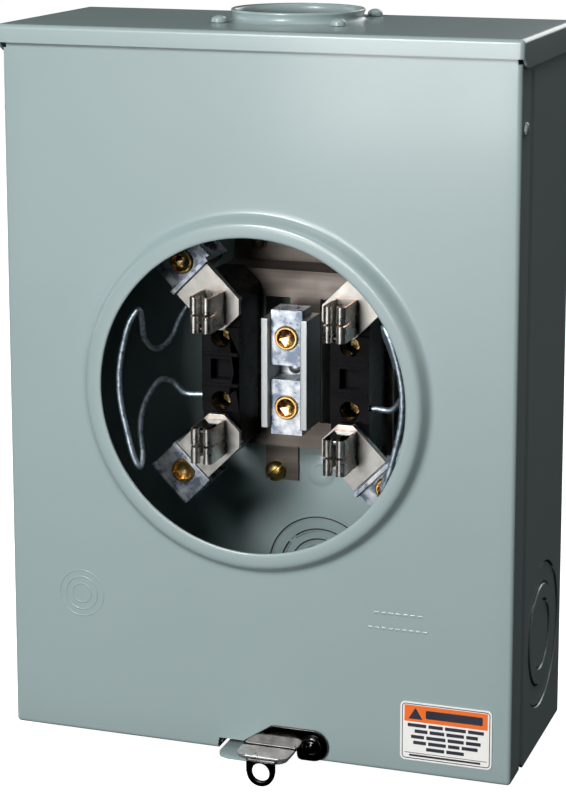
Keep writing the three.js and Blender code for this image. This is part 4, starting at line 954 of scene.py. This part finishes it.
def hexagon(angle):
    """Distance from the axis to a unit-apothem hexagon's side, at each angle."""
    return 1 / np.cos((angle + math.pi / 6) % (math.pi / 3) - math.pi / 6)


RIDGE, RIDGE_STEP = 6.36, 0.5


def socket_screw(front, length, place):
    """A set screw about the y axis: chamfered ends, a thread of shallow ridges and a hexagon socket with
    a conical floor. Rows of the socket take the hexagon's radius."""
    rear = front + length
    ridge_count = int((length - 3.4) / RIDGE_STEP)
    ridges = [(RIDGE - 0.3 * (k % 2), rear - 2.2 - k * RIDGE_STEP) for k in range(ridge_count)]
    seat = front + min(5.2, length - 1.2)
    socket = [
        (5.15, front), (4.62, front + 0.55), (4.5, front + 0.8),
        (4.5, seat), (2.0, seat + 0.5), (0, seat + 0.9),
    ]
    outside = [(0, rear), (4.6, rear), *ridges, (6.5, front + 0.8), (6.35, front + 0.35), (5.9, front)]
    first = len(outside)

    def shape(row, angle):
        in_socket = (row > first) & (row < first + 4)
        return np.where(in_socket, hexagon(angle + 0.3), 1.0)

    return turned(outside + socket, place, "y", 96, shape)


DIAGONAL = 81.8 * math.sqrt(0.5)
copper = Finish("copper_cut_edge", (0.45, 0.2, 0.11), 0.4, 1.0)
copper.tint(copper.noise(500, 3), (0.3, (0.33, 0.14, 0.08)), (0.7, (0.58, 0.3, 0.18)))
copper.vary(copper.noise(400, 3), 0.3, 0.5)
contact_names = {"upper_left": (-1, 1), "upper_right": (1, 1), "lower_left": (-1, -1), "lower_right": (1, -1)}
for name, (side, end) in contact_names.items():
    eased("contact_plate_" + name, tin, 0.25)
    eased("lug_" + name, falling if side * end > 0 else rising, 0.2)
    eased("fixing_screw_" + name, gold, 0.2)
    screw = socket_screw(-67.5, 8.6, (side * DIAGONAL, 0, METER_Z + end * DIAGONAL))
    node = "lug_screw_" + name
    piece("set_screw_" + name, [screw], [gold], node, [node], crease=28)

# ---------- Meter jaws ----------
# Each jaw is tin-plated copper strip: two leaves stand up from a base and end in rolled fingers that
# grip the meter's blade. A slit parts each finger in two, and its cut edges show copper.

JAW_X, JAW_RISE, JAW_BASE = 36.8, 35.3, -72.3
JAW_DEPTH, FINGER, JAW_HALF = 22.9, 2.55, 6.0
roll = np.linspace(0, 1.28 * math.pi, 22)
finger_x = JAW_HALF - FINGER + FINGER * np.cos(roll)
finger_y = -JAW_DEPTH + FINGER - FINGER * np.sin(roll)
corner = np.linspace(0, math.pi / 2, 6)
half_section = np.concatenate([
    [[0, 0], [2, 0]],
    np.stack([JAW_HALF - 1.4 + 1.4 * np.sin(corner), -1.4 + 1.4 * np.cos(corner)], -1),
    [[JAW_HALF, -5.0], [JAW_HALF, -11.9], [JAW_HALF, -16.0]],
    np.stack([finger_x, finger_y], -1),
])
SLIT_FROM = 9
strip = Finish("tin_plated_strip", (0.56, 0.545, 0.51), 0.22, 1.0)
strip_lines = strip.noise(160, 4, strip.stretched((1, 1, 0.3)))
strip.tint(strip_lines, (0.3, (0.52, 0.5, 0.46)), (0.7, (0.78, 0.77, 0.73)))
strip.vary(strip.noise(300, 3), 0.24, 0.36)
strip.bump(strip.noise(500, 2), 0.00006, 0.3)
# The jaw's web is the same tin strip made nearly black: painted shade, standing in for the dark reflection
# that its face shows.
shaded_strip = Finish("painted_shade_tin_strip", (0.09, 0.095, 0.1), 0.08, 1.0)
shaded_strip.vary(shaded_strip.noise(260, 3), 0.06, 0.12)
HALF_SLIT, JAW_TOP = 0.65, 9.5
jaw_levels = np.array([-JAW_TOP, -6.5, -3.5, -HALF_SLIT, HALF_SLIT, 3.5, 6.5, JAW_TOP])


def jaw_leaf(side_x):
    """One leaf of the jaw: the half section carried up through the levels, less the faces of the slit."""
    x = side_x * half_section[:, 0] + 0 * jaw_levels[:, None]
    y = half_section[:, 1] + 0 * jaw_levels[:, None]
    z = jaw_levels[:, None] + 0 * half_section[:, 0]
    points, faces = grid(np.stack([x, y, z], -1))
    columns = len(half_section)
    in_slit = (faces[:, 0] // columns == 3) & (faces[:, 0] % columns >= SLIT_FROM)
    return points, faces[~in_slit]


def jaw_web(turn_over):
    """The closed end: a flat strip between the leaves, bent over at its front edge. turn_over is 1 for a
    jaw closed at its top and -1 for one closed at its foot."""
    x = np.linspace(-JAW_HALF + 0.5, JAW_HALF - 0.5, 9)[None, :]
    bend = np.linspace(0, math.pi / 2, 6)
    y = np.concatenate([[-0.8, -6, -12, -18], -18.4 - 1.5 * np.sin(bend), [-19.9]])[:, None]
    z = np.concatenate([np.zeros(4), -1.5 * (1 - np.cos(bend)), [-2.4]])[:, None] + JAW_TOP
    return grid(np.stack([x + 0 * y, y + 0 * x, turn_over * z + 0 * x], -1))


for name, (side, end) in contact_names.items():
    at = (side * JAW_X, JAW_BASE, METER_Z + end * JAW_RISE)
    leaf_inside = (at[0], JAW_BASE - 8, at[2])
    for number, leaf_side in enumerate((-1, 1)):
        leaf = placed(jaw_leaf(leaf_side), (0, 1, 2), (1, 1, 1), at)
        made = piece(f"jaw_leaf_{name}_{number}", [leaf], [strip, copper], "root",
                     (), leaf_inside, wall=0.95)
        if number == 0:
            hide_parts("jaw_" + name)
    web = placed(jaw_web(-end), (0, 1, 2), (1, 1, 1), at)
    piece(f"jaw_web_{name}", [web], [shaded_strip, copper], "root", (), leaf_inside, wall=0.9)

# ---------- Neutral ----------
# An extruded aluminium channel on a steel spacer carries two aluminium lugs, one above the other,
# each with its own set screw. A screw through the channel's floor holds it to the bracket.

rail = Finish("rail_aluminium", (0.46, 0.49, 0.5), 0.42, 1.0)
rail_lines = rail.noise(120, 3, rail.stretched((1, 1, 0.1)))
rail.tint(rail_lines, (0.3, (0.42, 0.45, 0.46)), (0.7, (0.52, 0.55, 0.56)))
rail.vary(rail.noise(200, 3), 0.36, 0.46)
rail.bump(rail.noise(900, 3, rail.stretched((1, 1, 0.04))), 0.00006, 0.4)
eased("neutral_channel", rail, 0.5)
eased("neutral_screw", rail, 0.3)
for name, rise in (("upper", 19.0), ("lower", -19.0)):
    eased("neutral_lug_" + name, upright, 0.4)
    screw = socket_screw(-62.7, 4.6, (0, 0, METER_Z + rise))
    node = "neutral_lug_screw_" + name
    piece("neutral_set_screw_" + name, [screw], [gold], node, [node], crease=28)

# ---------- Meter support wires ----------
# Round zinc-coated spring wire, one on each side. Each is bent to run out of its block, round behind
# the edge of the opening and back into the block.

WIRE_ROUTE = [
    (43.2, -60, -12.5), (50, -60, -12.5), (58.4, -61, -12.2), (64.3, -64, -5.6), (68.6, -70, -3.4),
    (72.3, -78, -9.4), (73.6, -86, -18.6), (71.2, -94, -29), (67, -101.5, -38.4), (66.8, -106, -42.6),
    (69.2, -107, -38), (73.4, -107, -23), (76.9, -107, -6), (77.2, -107, 9), (74.6, -107, 24),
    (70.4, -107, 37), (66.9, -105, 42), (66.7, -101, 36.5), (68.4, -93, 24), (66.4, -81, 16.2),
    (62.8, -70, 20.1), (60, -62.5, 30.4), (55.5, -58.6, 37.6), (50, -58, 38.5), (43.2, -58, 38.5),
]
wire_steel = Finish("spring_steel", (0.42, 0.49, 0.54), 0.5, 1.0)
wire_stops = (0.34, (0.2, 0.27, 0.34)), (0.5, (0.44, 0.53, 0.6)), (0.7, (0.6, 0.68, 0.74))
wire_steel.tint(wire_steel.noise(420, 5), *wire_stops)
wire_steel.vary(wire_steel.noise(500, 3), 0.42, 0.6)
wire_steel.bump(wire_steel.noise(900, 3), 0.00006, 0.4)


def swept(route, radius, around=16, per_span=7):
    """A round section carried along a centripetal spline through route. Its frame is turned from one
    point to the next by the least amount, and both ends are closed with small domes."""
    route = np.array(route, float)
    points = np.concatenate([[2 * route[0] - route[1]], route, [2 * route[-1] - route[-2]]])
    gaps = np.sqrt(np.linalg.norm(np.diff(points, axis=0), axis=1))
    line = []
    for i in range(1, len(points) - 2):
        p0, p1, p2, p3 = points[i - 1:i + 3]
        d0, d1, d2 = gaps[i - 1], gaps[i], gaps[i + 1]
        m1 = ((p1 - p0) / d0 - (p2 - p0) / (d0 + d1) + (p2 - p1) / d1) * d1
        m2 = ((p2 - p1) / d1 - (p3 - p1) / (d1 + d2) + (p3 - p2) / d2) * d1
        t = np.linspace(0, 1, per_span, endpoint=False)[:, None]
        leaving, arriving = 2 * t**3 - 3 * t**2 + 1, 3 * t**2 - 2 * t**3
        line.append(leaving * p1 + (t**3 - 2 * t**2 + t) * m1 + arriving * p2 + (t**3 - t**2) * m2)
    line = np.concatenate([*line, route[-1:]])
    along = np.gradient(line, axis=0)
    along /= np.linalg.norm(along, axis=1)[:, None]
    normal = np.cross(along[0], (0.0, 0.0, 1.0))
    frames = []
    for direction in along:
        normal = normal - direction * normal.dot(direction)
        normal = normal / np.linalg.norm(normal)
        frames.append(normal)
    normals = np.array(frames)
    binormals = np.cross(along, normals)
    angle = np.linspace(0, 2 * math.pi, around, endpoint=False)[None, :, None]
    tube = line[:, None] + radius * (np.cos(angle) * normals[:, None] + np.sin(angle) * binormals[:, None])
    start = np.repeat((line[0] - 0.4 * along[0])[None, None], around, 1)
    stop = np.repeat((line[-1] + 0.4 * along[-1])[None, None], around, 1)
    return grid(np.concatenate([start, tube, stop]), wrap=True)


for side, name in ((-1, "left"), (1, "right")):
    wire = placed(swept(WIRE_ROUTE, 1.6), (0, 1, 2), (side, 1, 1))
    node = "meter_support_wire_" + name
    piece("support_wire_" + name, [wire], [wire_steel], "root", [node])
